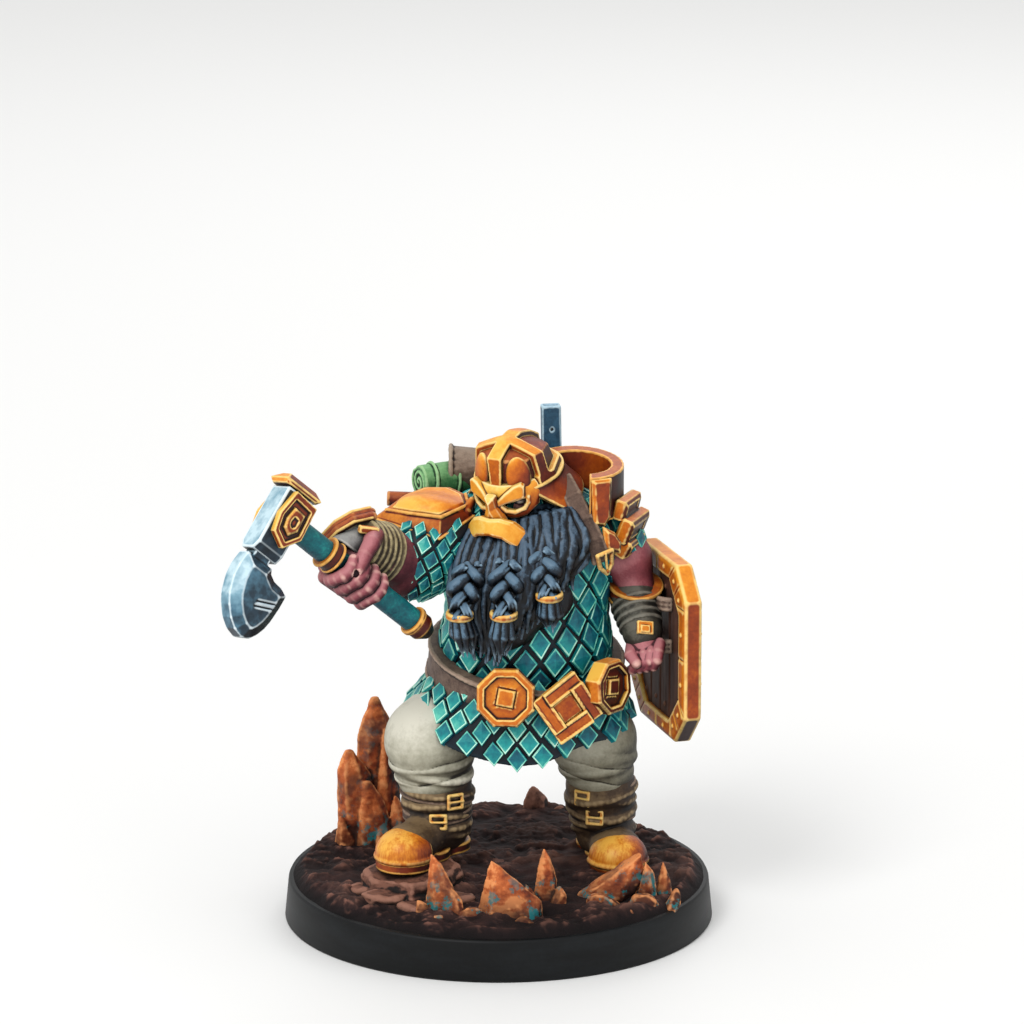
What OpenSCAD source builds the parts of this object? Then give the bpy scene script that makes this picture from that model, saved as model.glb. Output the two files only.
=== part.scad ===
// A painted tabletop miniature: an armoured dwarf with a war hammer and a shield, on a round base.
// Millimetres. +Z is up, and -Y is the way the figure faces.
// The origin is the centre of the base's underside.
// "Right" and "left" are the figure's own, so its right hand is on the -X side.

/* [Base] */
// Diameter of the base's underside
base_d = 32; // [30:0.5:40]
// Diameter of the base's top
base_top_d = 31.3; // [29:0.1:31.5]
// Height of the base's rim
base_h = 3.1; // [2.5:0.1:4]
// Height of the rock ledge under the right foot
ledge_h = 2.3; // [1.8:0.1:2.6]

/* [Hammer] */
// Diameter of the haft
haft_d = 1.8; // [1.4:0.1:2]
// Length of the haft, from inside the head to the pommel
haft_len = 14; // [13:0.1:16]
// Length of the steel block
block_len = 5.2; // [4.8:0.1:5.6]
// Depth of the steel block, along the haft
block_deep = 2.4; // [2.2:0.1:2.8]
// Width of the steel block, across the haft
block_wide = 2.2; // [1.9:0.1:2.4]

/* [Shield] */
// Height of the shield
shield_h = 13.8; // [13:0.1:15]
// Width of the shield
shield_w = 12.6; // [11:0.1:13]
// Thickness of the shield's board
board_t = 0.8; // [0.6:0.1:1.2]
// Thickness of the rim, front to back
rim_t = 1.5; // [1.2:0.1:1.8]
// Width of the rim's border
rim_w = 1.3; // [1:0.1:1.6]

/* [Assembly] */
// Diameter of the wire pins through the feet
pin_d = 0.8; // [0.6:0.1:1]
// Thickness of the belt
belt_t = 0.7; // [0.5:0.1:0.9]
// Thickness of the skirt of the coat
skirt_t = 0.8; // [0.6:0.1:1]

/* [Hidden] */
round_fn = 96;      // true round surfaces
body_fn = 14;       // large sculpted surfaces
small_fn = 10;      // small sculpted surfaces

right_pin_at = [-4.6, -2.2];
left_pin_at = [8, 1.6];

head_at = [1.35, -1.3, 34.5];
head_turn = [17, 0, -24];

haft_grip_at = [-10.4, -9, 28.7];
haft_turn = [0, 130.8, 27];
head_reach = 7.9;    // from the grip to the middle of the hammer's head
haft_roll = -13;
block_shift = 0.7;    // how far the block's middle lies past the haft, towards the beak
block_lift = 0.3;     // how far it lies from the reach above, towards the pommel
haft_start = block_lift + block_deep / 2 - head_reach;

shield_at = [12.4, 0.2, 21.2];
shield_yaw = 17;

// ---------- shared shapes ----------

// An ellipsoid at p, with radii r, turned by a
module egg(p, r, a = [0, 0, 0], fn = body_fn)
    hull() translate(p) rotate(a) scale(r) sphere(r = 1, $fn = fn);

// A limb from p to q, with a ball of radius rp at p and rq at q
module limb(p, q, rp, rq, fn = body_fn)
    hull() {
        translate(p) sphere(r = rp, $fn = fn);
        translate(q) sphere(r = rq, $fn = fn);
    }

// A pointed rock: a rough polygon foot of radius r at p, and a blunt tip at q
module shard(p, q, r, flat = 0.6, turn = 0, tip = 0.25)
    hull() {
        translate(p) rotate(turn) scale([1, flat, 1]) cylinder(r = r, h = 0.4, $fn = 7);
        translate(p + (q - p) * 0.5) rotate(turn + 20) scale([1, flat, 1])
            cylinder(r = r * 0.75, h = 0.3, $fn = 6);
        translate(q) rotate(turn) cylinder(r = tip, h = 0.2, $fn = 5);
    }

// A flat plate with an outline, standing up and facing -Y, its back at y = 0
module plate(outline, t)
    rotate([90, 0, 0]) linear_extrude(height = t) polygon(outline);

// An outline with n corners, as wide as w and as high as h between flats
function ngon(n, w, h) = [for (i = [0:n - 1]) let (a = 360 * (i + 0.5) / n)
    [cos(a) * w / 2 / cos(180 / n), sin(a) * h / 2 / cos(180 / n)]];

// ---------- base ----------

module foot_pin(at, low, high, r)
    translate([at[0], at[1], low]) cylinder(r = r, h = high - low, $fn = 32);

module foot_pins() color("silver") {
    foot_pin(right_pin_at, 1, base_h + ledge_h + 2.6, pin_d / 2);
    foot_pin(left_pin_at, 1, base_h + 3.4, pin_d / 2);
}

module pin_bores() {
    foot_pin(right_pin_at, 1, 40, pin_d / 2 + 0.02);
    foot_pin(left_pin_at, 1, 40, pin_d / 2 + 0.02);
}

module base_disc() color("#26282b") difference() {
    cylinder(r1 = base_d / 2, r2 = base_top_d / 2, h = base_h, $fn = round_fn);
    pin_bores();
}

// Height of the earth over the base at radius r and angle a
function earth_h(r, a) = 0.42 + 0.16 * sin(3 * a + 40 * r) + 0.14 * sin(5 * a - 70 * r)
    + 0.1 * cos(7 * a + 110 * r);
earth_rings = 7;
earth_spokes = 36;
earth_r = base_top_d / 2 - 0.4;

// The number of the earth's point on ring i at spoke j
function at(i, j) = i * earth_spokes + (j % earth_spokes);

module earth() {
    top = [for (i = [1:earth_rings], j = [0:earth_spokes - 1])
        let (r = earth_r * i / earth_rings, a = 360 * j / earth_spokes,
            h = i == earth_rings ? 0.12 : earth_h(r, a))
        [r * cos(a), r * sin(a), base_h + h]];
    rim = [for (j = [0:earth_spokes - 1]) let (a = 360 * j / earth_spokes)
        [earth_r * cos(a), earth_r * sin(a), base_h]];
    n = earth_rings * earth_spokes;
    points = concat(top, rim, [[0, 0, base_h + earth_h(0, 0)], [0, 0, base_h]]);
    faces = concat(
        [for (j = [0:earth_spokes - 1]) [at(0, j + 1), at(0, j), n + earth_spokes]],
        [for (i = [0:earth_rings - 1], j = [0:earth_spokes - 1]) [at(i, j), at(i, j + 1), at(i + 1, j + 1)]],
        [for (i = [0:earth_rings - 1], j = [0:earth_spokes - 1]) [at(i, j), at(i + 1, j + 1), at(i + 1, j)]],
        [for (j = [0:earth_spokes - 1]) [at(earth_rings, j), at(earth_rings, j + 1), n + earth_spokes + 1]]);
    polyhedron(points = points, faces = faces);
}

module ground() color("#5b4038") difference() {
    earth();
    rocks();
    boots();
    foot_pin(right_pin_at, 1, 10, pin_d / 2 + 0.02);
    foot_pin(left_pin_at, 1, 10, pin_d / 2 + 0.02);
}

module rock_spires_rear() color("#a85a34") {
    shard([-9.3, 6.6, base_h], [-9.5, 6.9, 14.6], 1.7, 0.7, 15, 0.3);
    shard([-10.4, 5.4, base_h], [-11.1, 5.4, 10.9], 1.2, 0.8, 60, 0.3);
    shard([-7.6, 5.2, base_h], [-7.9, 5.6, 7.4], 1.2, 0.8, 30, 0.3);
}

module rock_shards_front_right() color("#c0683a") {
    shard([-4.4, -10.6, base_h], [-4.8, -10.2, 7.7], 1.3, 0.6, -15);
    shard([-3.4, -11.6, base_h], [-3.5, -10.4, 4.9], 1.2, 0.5, -30);
}

module rock_shards_front_centre() color("#c8703c") {
    hull() {
        translate([0.6, -11.6, base_h]) scale([1, 0.45, 1]) cylinder(r = 2.7, h = 0.5, $fn = 8);
        translate([0.9, -11.2, 5.2]) scale([1, 0.4, 1]) cylinder(r = 2.2, h = 0.3, $fn = 7);
        translate([-0.4, -10.8, 7.9]) cylinder(r = 0.3, h = 0.2, $fn = 5);
    }
    shard([3.2, -8.3, base_h], [3.3, -8, 7.6], 1.2, 0.7, 10);
    shard([-1.6, -9, base_h], [-1.7, -8.6, 6], 0.9, 0.8, 0);
}

module rock_slabs_front_left() color("#b5653c") {
    hull() {
        translate([7.2, -7.6, base_h]) rotate(-15) scale([1, 0.5, 1]) cylinder(r = 2, h = 0.9, $fn = 7);
        translate([9.8, -6.6, base_h + 2.2]) rotate(20) scale([1, 0.6, 1]) cylinder(r = 1.2, h = 1, $fn = 6);
    }
    shard([11, -6.9, base_h], [10.7, -6.9, 6.9], 0.8, 0.7, 0);
    shard([12.1, -6, base_h], [12, -6, 6.4], 0.8, 0.9, 40);
    shard([10.6, -9.2, base_h], [10.4, -9.2, 4.3], 1.3, 0.8, 10);
}

module rock_spike_rear() color("#4a4145") shard([2.7, 13.2, base_h], [2.6, 13.4, 5.5], 1.2, 0.6, 10, 0.2);

module rock_ledge() color("#7a5148") difference() {
    hull() {
        translate([-6.4, -5, base_h]) rotate(12) scale([1, 0.9, 1]) cylinder(r = 4.6, h = 0.8, $fn = 9);
        translate([-6.2, -4.6, base_h + ledge_h - 0.6]) rotate(30) scale([1, 0.95, 1])
            cylinder(r = 4, h = 0.6, $fn = 8);
    }
    foot_pin(right_pin_at, 1, 10, pin_d / 2 + 0.02);
}

module rocks() {
    rock_spires_rear();
    rock_shards_front_right();
    rock_shards_front_centre();
    rock_slabs_front_left();
    rock_spike_rear();
    rock_ledge();
}

// ---------- legs ----------

// A foot, its toe at the origin and pointing to -Y, standing on z = 0
module foot_frame(side) {
    if (side == "right")
        translate([-7.3, -6.1, base_h + ledge_h]) rotate(-34) children();
    else
        translate([9.1, -1.6, base_h + 0.45]) rotate(14) children();
}

module sole(side) foot_frame(side) difference() {
    hull() {
        translate([0, 0.7, 0]) cylinder(r = 2.1, h = 0.8, $fn = 24);
        translate([0, 6, 0]) cylinder(r = 1.7, h = 0.8, $fn = 24);
    }
}

module toe_shape(side) foot_frame(side) translate([0, 0.8, 0.8]) intersection() {
    scale([2.25, 2.3, 2.6]) sphere(r = 1, $fn = body_fn);
    translate([-3, -3, 0]) cube([6, 4.2, 3]);
}

module boot_shape(side) {
    foot_frame(side) hull() {
        translate([0, 1.6, 0.8]) scale([1.9, 1.9, 2.1]) intersection() {
            sphere(r = 1, $fn = body_fn);
            translate([-1, -1, 0]) cube([2, 2, 1]);
        }
        translate([0, 5.8, 0.8]) cylinder(r = 1.7, h = 2.4, $fn = 24);
    }
    if (side == "right") {
        limb([-4.5, -1.5, 7.6], [-4.6, -1.9, 9.9], 2.3, 2.6);
    } else {
        limb([7.9, 2.6, 6], [7.6, 1.6, 8.9], 2.2, 2.5);
    }
}

module boots() {
    sole("right");
    sole("left");
}

module soles() color("#8a5a2a") for (side = ["right", "left"]) difference() {
    sole(side);
    pin_bores();
}

module toe_caps() color("goldenrod") {
    toe_shape("right");
    toe_shape("left");
}

module right_boot() color("#5f5142") difference() {
    boot_shape("right");
    toe_shape("right");
    sole("right");
    pin_bores();
}

module left_boot() color("#5f5142") difference() {
    boot_shape("left");
    toe_shape("left");
    sole("left");
    pin_bores();
}

// A square buckle frame with its strap's end behind it, facing -Y
module small_buckle(w, h) {
    difference() {
        translate([-w / 2, -0.25, -h / 2]) cube([w, 0.25, h]);
        translate([-w / 2 + 0.22, -1, -h / 2 + 0.22]) cube([w - 0.44, 2, h - 0.44]);
    }
    translate([-0.1, -0.25, -h / 2]) cube([0.2, 0.2, h]);
}

module boot_buckles() color("goldenrod") {
    translate([-3.5, -4.35, 10.2]) rotate([0, -10, 12]) small_buckle(1.3, 1.2);
    translate([-4.5, -4.2, 8.6]) rotate([0, -8, -4]) small_buckle(1.2, 1.1);
    translate([6.2, -0.85, 9.4]) rotate([0, 25, -28]) small_buckle(1.2, 1.1);
    translate([7.1, -0.25, 7.4]) rotate([0, 10, -14]) small_buckle(1.2, 1.1);
}

module trousers_right() {
    limb([-2.2, 0.4, 16.6], [-5.1, -2, 13.9], 2.7, 3.2);
    limb([-5.1, -2, 13.9], [-4.9, -2, 12.6], 3.2, 2.95);
}

module trousers_left() {
    limb([5.2, 1.2, 16.4], [7.1, 1.2, 12.9], 2.7, 3);
    limb([7.1, 1.2, 12.9], [7.5, 1.5, 11.5], 3, 2.7);
}

module right_trouser_leg() color("#9a968a") difference() {
    trousers_right();
    boot_shape("right");
    egg([-4.6, -1.9, 9.9], [2.6, 2.6, 2.6]);
}

module left_trouser_leg() color("#8a887d") difference() {
    trousers_left();
    boot_shape("left");
}

// ---------- coat and belt ----------

module torso() hull() {
    egg([2, 0.2, 21], [6.3, 5.9, 4.6]);
    egg([2.2, 0.5, 26.5], [6.3, 5.4, 5]);
    egg([2.2, 0.9, 30], [6.2, 4, 3]);
}

module coat_body() color("#2b8c94") difference() {
    torso();
    translate([-10, -10, 10]) cube([30, 30, 8.4]);
    right_sleeve_shape();
    head_frame() skull(0.02);
}

hem_spokes = 40;
skirt_top_z = 18.3;

// Height of the skirt's hem at angle a
function hem_z(a) = 14.7 + 1.0 * cos(2 * a) - 0.2 * cos(a) + 0.25 * sin(5 * a);

// A closed ring: the skirt of the coat, open below
function skirt_top(grow) = [for (j = [0:hem_spokes - 1]) let (a = 360 * j / hem_spokes)
    [1.9 + (6.7 + grow) * cos(a), 0.2 + (6.1 + grow) * sin(a), skirt_top_z]];
function skirt_hem(grow) = [for (j = [0:hem_spokes - 1]) let (a = 360 * j / hem_spokes)
    [1.15 + (8.5 + grow) * cos(a), 0.1 + (6.6 + grow) * sin(a), hem_z(a)]];

module coat_skirt() color("#237c88") {
    points = concat(skirt_top(0), skirt_hem(0), skirt_hem(-skirt_t), skirt_top(-skirt_t));
    faces = concat(
        [for (k = [0:3], j = [0:hem_spokes - 1]) let (m = (k + 1) % 4, i = (j + 1) % hem_spokes)
            [k * hem_spokes + j, k * hem_spokes + i, m * hem_spokes + i]],
        [for (k = [0:3], j = [0:hem_spokes - 1]) let (m = (k + 1) % 4, i = (j + 1) % hem_spokes)
            [k * hem_spokes + j, m * hem_spokes + i, m * hem_spokes + j]]);
    polyhedron(points = points, faces = faces);
}

module belt() color("#6b5548") difference() {
    translate([1.95, 0.2, 19.3]) rotate([14, 6, 0]) linear_extrude(height = 2.3, center = true)
        scale([6.5 + belt_t, 6.1 + belt_t]) circle(r = 1, $fn = 48);
    torso();
    egg([2, 0.2, 19], [6.31, 5.91, 6]);
}

// The round buckle, the knot plate and the medallion sit on the belt's front
module belt_buckle() color("goldenrod") translate([0.65, -6.75, 18.75]) rotate([-8, 0, -4]) {
    difference() {
        plate(ngon(8, 4, 4), 0.9);
        translate([0, -0.4, 0]) plate(ngon(8, 2.9, 2.9), 0.9);
    }
    rotate([0, 12, 0]) translate([-0.75, -0.8, -0.75]) cube([1.5, 0.5, 1.5]);
}

module belt_knot_plate() color("goldenrod")
    translate([5, -6.3, 17.9]) rotate([-8, 0, 16]) rotate([0, -30, 0]) {
    translate([-1, -0.5, -1]) cube([2, 0.5, 2]);
    for (i = [0:3]) rotate([0, 90 * i, 0]) translate([-1.1, -0.85, 1.05]) cube([3, 0.8, 1]);
}

module belt_medallion() color("goldenrod") translate([7.7, -4.9, 19]) rotate([-4, 0, 52]) {
    difference() {
        plate(ngon(8, 3.8, 3.8), 1.5);
        translate([0, -1, 0]) plate(ngon(8, 2.8, 2.8), 0.9);
    }
    translate([-0.35, -1.3, -1.3]) cube([0.7, 0.4, 2.6]);
}

// ---------- head ----------

module head_frame() translate(head_at) rotate(head_turn) children();

module skull(grow) hull() {
    translate([0, 0.3, -0.3]) scale([2.3 + grow, 2.6 + grow, 2.3 + grow]) sphere(r = 1, $fn = body_fn);
    translate([0, 0.9, -2.6]) sphere(r = 1.8 + grow, $fn = small_fn);
}

module head() color("#8a4a4a") head_frame() skull(0);

module bowl_shape(grow) hull() {
    scale([2.8 + grow, 3.1 + grow, 2.5 + grow]) sphere(r = 1, $fn = body_fn);
    translate([0, 0, -0.5]) scale([2.9 + grow, 3.2 + grow, 0.5]) sphere(r = 1, $fn = body_fn);
}

module helm_bowl() color("#8c4a35") head_frame() difference() {
    bowl_shape(0);
    skull(0.02);
    translate([-5, -5, -5.3]) cube([10, 10, 5]);
}

// Two crossed bands and the brow band, all standing off the bowl
module helm_bands() color("goldenrod") head_frame() difference() {
    intersection() {
        bowl_shape(0.45);
        union() {
            translate([-0.6, -5, -0.5]) cube([1.2, 10, 6]);
            translate([-5, 0.1, -0.5]) cube([10, 1.2, 6]);
            translate([-5, -5, -0.5]) cube([10, 10, 0.9]);
        }
    }
    bowl_shape(0.01);
    translate([-5, -5, -5.3]) cube([10, 10, 5]);
}

// The face plate: nose guard and a ring round each eye
module helm_mask() color("goldenrod") head_frame() difference() {
    union() {
        hull() {
            translate([-0.5, -3.9, -0.3]) cube([1, 0.9, 0.2]);
            translate([-0.75, -4.5, -1.7]) cube([1.5, 1.6, 0.3]);
        }
        for (s = [-1, 1]) hull() {
            translate([1.6 * s, -2.7, -0.3]) sphere(r = 0.6, $fn = small_fn);
            translate([1.8 * s, -2.6, -1.7]) sphere(r = 0.75, $fn = small_fn);
            translate([0.7 * s, -3.1, -1.3]) sphere(r = 0.55, $fn = small_fn);
        }
    }
    for (s = [-1, 1]) translate([1.35 * s, -2, -0.95]) rotate([90, 0, 0])
        scale([1, 0.5, 1]) cylinder(r = 0.7, h = 4, $fn = 24);
    skull(0.02);
    bowl_shape(0.46);
}

module helm_moustache() color("goldenrod") head_frame() difference() {
    for (s = [-1, 1]) {
        hull() {
            translate([0.25 * s, -4, -2.2]) sphere(r = 0.55, $fn = small_fn);
            translate([1.3 * s, -3.7, -2.5]) sphere(r = 0.65, $fn = small_fn);
        }
        hull() {
            translate([1.3 * s, -3.7, -2.5]) sphere(r = 0.65, $fn = small_fn);
            translate([2.2 * s, -3.5, -3.7]) sphere(r = 0.3, $fn = small_fn);
        }
    }
    translate([-2, -6, -1.71]) cube([4, 4, 2]);
    skull(0.02);
}

module helm_neck_guard() color("goldenrod") head_frame() difference() {
    hull() {
        translate([0, 0.2, -0.9]) scale([3.1, 3.4, 0.45]) cylinder(r = 1, h = 1, $fn = 28);
        translate([0, 1, -2.3]) scale([4, 3.8, 0.4]) cylinder(r = 1, h = 1, $fn = 28);
    }
    hull() {
        translate([0, 0.2, -0.8]) scale([2.65, 2.95, 1]) cylinder(r = 1, h = 1.2, $fn = 28);
        translate([0, 1, -2.9]) scale([3.5, 3.3, 1]) cylinder(r = 1, h = 1, $fn = 28);
    }
    translate([-6, -6.4, -5]) cube([12, 5, 6]);
    translate([-6, -6.4, -0.51]) cube([12, 12, 6]);
}

// ---------- beard ----------

module beard_mass() {
    hull() {
        egg([1.9, -3, 29.3], [4.1, 2.3, 1.9], [0, 0, 0], 18);
        egg([1.6, -5, 26.6], [4.6, 1.6, 2.4], [0, 0, 0], 18);
    }
    hull() {
        egg([1.6, -5, 26.6], [4.6, 1.6, 2.4], [0, 0, 0], 18);
        egg([0.1, -6, 23.6], [2.4, 0.9, 1.4], [0, 0, 0], 18);
    }
}

module beard() color("#2b3440") difference() {
    beard_mass();
    torso();
    head_frame() skull(0.02);
    head_frame() hull() {
        translate([-0.5, -3.9, -0.3]) cube([1, 0.9, 0.2]);
        translate([-0.75, -4.5, -1.7]) cube([1.5, 1.6, 0.3]);
    }
}

// A plaited lock: pairs of crossing lobes down a line, then a brushed end below its ring
module braid(p, q, tip, r) {
    lobes = 4;
    for (i = [0:lobes - 1]) let (c = p + (q - p) * (i + 0.5) / lobes)
        for (s = [-1, 1])
            egg(c + [0.42 * r * s, 0, 0.22 * s], [0.75 * r, 0.8 * r, 0.62 * r], [0, 30 * s, 0], small_fn);
    limb(q, tip, 0.7 * r, 0.25 * r, small_fn);
}

module right_braid() color("#39434f") difference() {
    braid([-2.4, -6.4, 29.2], [-2.8, -6.9, 25.3], [-2.4, -6.9, 22.6], 1.15);
    torso();
    beard_mass();
    ring_shape([-2.8, -6.9, 25.1]);
}

module middle_braid() color("#39434f") difference() {
    braid([0.3, -7.1, 29.4], [0.4, -7.4, 25.5], [0.1, -7.1, 22.4], 1.15);
    torso();
    beard_mass();
    ring_shape([0.4, -7.4, 25.3]);
}

module left_braid() color("#39434f") difference() {
    braid([3.6, -6.4, 30.2], [3.7, -6.8, 26.7], [3.8, -6.7, 24], 1.1);
    torso();
    beard_mass();
    ring_shape([3.7, -6.8, 26.5]);
}

module ring_shape(at) translate(at) cylinder(r = 1, h = 0.42, center = true, $fn = 32);

module braid_rings() color("orange") difference() {
    union() {
        ring_shape([-2.8, -6.9, 25.1]);
        ring_shape([0.4, -7.4, 25.3]);
        ring_shape([3.7, -6.8, 26.5]);
    }
    beard_mass();
}

// ---------- shoulders ----------

module right_pauldron() color("goldenrod") difference() {
    hull() polyhedron(
        points = [[-4.4, -4, 32], [-4.5, -4.1, 30.6], [-9, -2, 31.2], [-8.6, 1.4, 31.4], [-2, -2.6, 32.3],
            [-2.1, -2.4, 31], [-5.3, -0.4, 33], [-5, 3, 32.4], [-2.2, 2.4, 32.6], [-5.2, 3.2, 30.4]],
        faces = [for (i = [0:7]) [i, i + 1, i + 2]]);
    egg([-5, -0.5, 28.6], [4.4, 4, 3.1]);
    torso();
}

pauldron_at = [5.9, -0.1, 31.2];

// An upright wall in a horseshoe round the shoulder, with its top sloping down to the front
module left_pauldron() color("goldenrod") difference() {
    translate(pauldron_at) difference() {
        scale([3.2, 3.5, 1]) cylinder(r = 1, h = 4.2, $fn = 40);
        translate([0, 0, -1]) scale([2.45, 2.75, 1]) cylinder(r = 1, h = 6, $fn = 40);
        translate([-5, -5, -1]) cube([5.6, 7.2, 7]);
        translate([-5, -5, -1]) cube([4, 12, 7]);
        translate([0, 0, 3.35]) rotate([6, 6, 0]) translate([-5, -6, 0]) cube([12, 12, 3]);
    }
    torso();
}

module left_pauldron_lames() color("goldenrod") difference() {
    for (i = [0:2]) translate([9.2, -0.8, 31.6 - 1.25 * i]) rotate([0, 24 + 8 * i, -20])
        translate([-0.4, -1.7, -0.6]) cube([1.5, 3.6, 1.05]);
    translate(pauldron_at) scale([3.21, 3.51, 1]) cylinder(r = 1, h = 4.2, $fn = 40);
    torso();
}

module shoulder_strap() color("#4c3a33") difference() {
    hull() {
        egg([5.6, -1.6, 33.2], [0.8, 0.5, 0.8], [0, 0, 0], small_fn);
        egg([7.3, -4.2, 29.6], [0.7, 0.45, 0.8], [0, 0, 0], small_fn);
    }
    torso();
}

module strap_buckle() color("goldenrod")
    translate([7.75, -4.75, 28.6]) rotate([12, -14, 30]) small_buckle(1.4, 1.5);

// ---------- right arm and hammer ----------

module right_sleeve_shape() {
    limb([-3.2, -0.6, 29.4], [-5.5, -2.4, 28.3], 2.9, 3.1);
    limb([-5.5, -2.4, 28.3], [-6.4, -2.9, 27.4], 3.1, 2.5);
}

module right_sleeve() color("#2f949b") difference() {
    right_sleeve_shape();
    egg([2.2, 0.5, 26.5], [5.6, 4.8, 5]);
    limb([-7.2, -3.6, 28], [-8.7, -5.6, 29.3], 2.15, 2.3, 18);
}

module right_forearm() color("#a05a62") difference() {
    limb([-7.2, -3.6, 28], [-8.7, -5.6, 29.3], 2.1, 2.25, 18);
    bracer_shape();
}

module bracer_shape()
    translate([-8.9, -5.7, 29.6]) rotate([68, 0, -36]) cylinder(r1 = 2.5, r2 = 2.2, h = 2.2, $fn = 40);

module right_bracer() color("#6d6150") bracer_shape();

// Along the haft: z = 0 at the grip, +z towards the pommel
module haft_frame() translate(haft_grip_at) rotate(haft_turn) rotate(haft_roll) children();

module haft_bar(r)
    haft_frame() translate([0, 0, haft_start]) cylinder(r = r, h = haft_len, $fn = 40);

module right_hand() color("#a8606a") difference() {
    union() {
        egg([-10.3, -8, 29.2], [1.7, 1.5, 2.2], [0, 30, 0], small_fn);
        haft_frame() for (i = [0:3]) translate([0, 0, -1.5 + 1.05 * i]) rotate([0, 0, 180])
            egg([0, 0.3, 0], [1.75, 1.8, 0.62], [0, 0, 0], small_fn);
        egg([-10.1, -9.8, 30.1], [0.75, 0.7, 1.4], [10, 0, 0], small_fn);
    }
    haft_bar(haft_d / 2 + 0.02);
    bracer_shape();
}

module hammer_haft() color("#1f7f86") haft_bar(haft_d / 2);

// The collar at the grip and the pommel
module hammer_fittings() color("#b5651d") haft_frame() {
    translate([0, 0, -3.05]) difference() {
        cylinder(r = haft_d / 2 + 0.35, h = 0.9, $fn = 40);
        translate([0, 0, -1]) cylinder(r = haft_d / 2 + 0.01, h = 3, $fn = 40);
    }
    translate([0, 0, haft_start + haft_len]) {
        cylinder(r = haft_d / 2 + 0.2, h = 0.4, $fn = 40);
        translate([0, 0, 0.4]) cylinder(r1 = haft_d / 2 + 0.1, r2 = 0.35, h = 1.1, $fn = 40);
    }
}

// In the head's frame x runs along the block to the beak, y across it, z towards the pommel
module hammer_frame() haft_frame() translate([0, 0, -head_reach]) children();

module hammer_block() color("#6f8a98") hammer_frame()
    translate([block_shift - block_len / 2, -block_wide / 2, block_lift - block_deep / 2])
        cube([block_len, block_wide, block_deep]);

// The beak's outline: straight where it joins the block, hooked towards the pommel, round at the tip
beak_outline = [[0, -0.9], [2, -1], [3.3, -0.6], [4.4, 0.2], [5.2, 1.2], [5.4, 2.1], [4.6, 3], [3.2, 3.5],
    [1, 3.6], [0.8, 2.3], [0.4, 1.6], [0, 1.5]];
beak_gap = 0.35;

module hammer_beak() color("#7f9cab") hammer_frame()
    translate([block_shift + block_len / 2 + beak_gap, 0, 0]) {
        rotate([90, 0, 0]) linear_extrude(height = block_wide, center = true) polygon(beak_outline);
        translate([-beak_gap, -0.6, -0.4]) cube([beak_gap + 0.01, 1.2, 1.5]);
    }

plaque_outline = [[-1.8, -0.4], [-1.6, 1.7], [1, 1.85], [2.3, 0.8], [1.6, -0.5], [0.2, -0.8]];
plaque_t = 0.5;

module hammer_plaques() color("goldenrod") hammer_frame()
    for (s = [-1, 1]) translate([0, s * (block_wide + plaque_t) / 2, 0]) rotate([90, 0, 0])
        linear_extrude(height = plaque_t, center = true) polygon(plaque_outline);

module hammer_cap() color("goldenrod") hammer_frame()
    translate([block_shift - block_len / 2 - 0.4, 0, block_lift]) hull() {
        translate([0, -1.2, -1.7]) cube([0.4, 2.4, 3.4]);
        translate([-0.6, -0.7, -1.2]) cube([0.4, 1.4, 2.4]);
    }

// ---------- left arm and shield ----------

module left_sleeve() color("#2f949b") difference() {
    limb([7.4, 0.4, 30.2], [8.8, 0, 28.9], 2, 1.8);
    torso();
    translate(pauldron_at) scale([3.21, 3.51, 1]) cylinder(r = 1, h = 4.2, $fn = 40);
    limb([8.9, 0.2, 28.6], [10, -0.3, 26.2], 1.7, 1.75, 18);
}

module left_arm() color("#8a4a55") difference() {
    limb([8.9, 0.2, 28.6], [10, -0.3, 26.2], 1.65, 1.7, 18);
    torso();
    cuff_shape();
}

module cuff_shape() translate([10.1, -0.6, 25.2]) rotate([18, 4, 0])
    cylinder(r = 1.85, h = 1.1, center = true, $fn = 40);

module left_cuff() color("goldenrod") cuff_shape();

module left_glove() color("#3a3a36") difference() {
    limb([10, -0.8, 24.6], [10.6, -2.6, 22.6], 1.75, 1.45);
    cuff_shape();
}

module left_hand() color("#8a4a5a") difference() {
    union() {
        egg([10.9, -3.1, 21.3], [1.3, 1.5, 1.2], [0, 0, 0], 18);
        for (i = [0:3]) egg([10.2 + 0.1 * i, -4.3 + 0.75 * i, 20.6], [0.62, 0.42, 0.85], [0, 0, 0], small_fn);
    }
    limb([10, -0.8, 24.6], [10.6, -2.6, 22.6], 1.77, 1.47);
}

// In the shield's frame the board stands in the YZ plane and +X is its outer face
module shield_frame() translate(shield_at) rotate(shield_yaw) children();

function shield_outline(inset) = let (w = shield_w / 2 - inset, h = shield_h / 2 - inset, c = 2.3)
    [[w, h - c - 0.8], [w - c, h], [-w + c, h], [-w, h - c],
     [-w, -h + c], [-w + c, -h], [w - c, -h], [w, -h + c]];

module shield_solid(inset, t)
    rotate([90, 0, 90]) linear_extrude(height = t, center = true) polygon(shield_outline(inset));

module shield_board() color("#4a3630") shield_frame() difference() {
    shield_solid(rim_w * 0.6, board_t);
    for (i = [-1:1]) translate([-board_t / 2 - 0.5, 2.6 * i - 0.12, -10]) cube([0.7, 0.24, 20]);
}

module shield_rim() color("goldenrod") shield_frame() difference() {
    shield_solid(0, rim_t);
    shield_solid(rim_w, rim_t + 2);
    shield_solid(rim_w * 0.6, board_t + 0.02);
}

// ---------- pack ----------

module bag() hull() {
    egg([1.4, 5.8, 30], [4.6, 2.4, 2.6], [0, 0, 0], 18);
    egg([1, 6, 24.6], [5.2, 2.5, 2.6]);
}

module cloth_roll_shape()
    translate([-3.6, 5.4, 32.9]) rotate([0, 90, 0]) cylinder(r1 = 1.75, r2 = 1.3, h = 8, $fn = 40);

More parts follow.
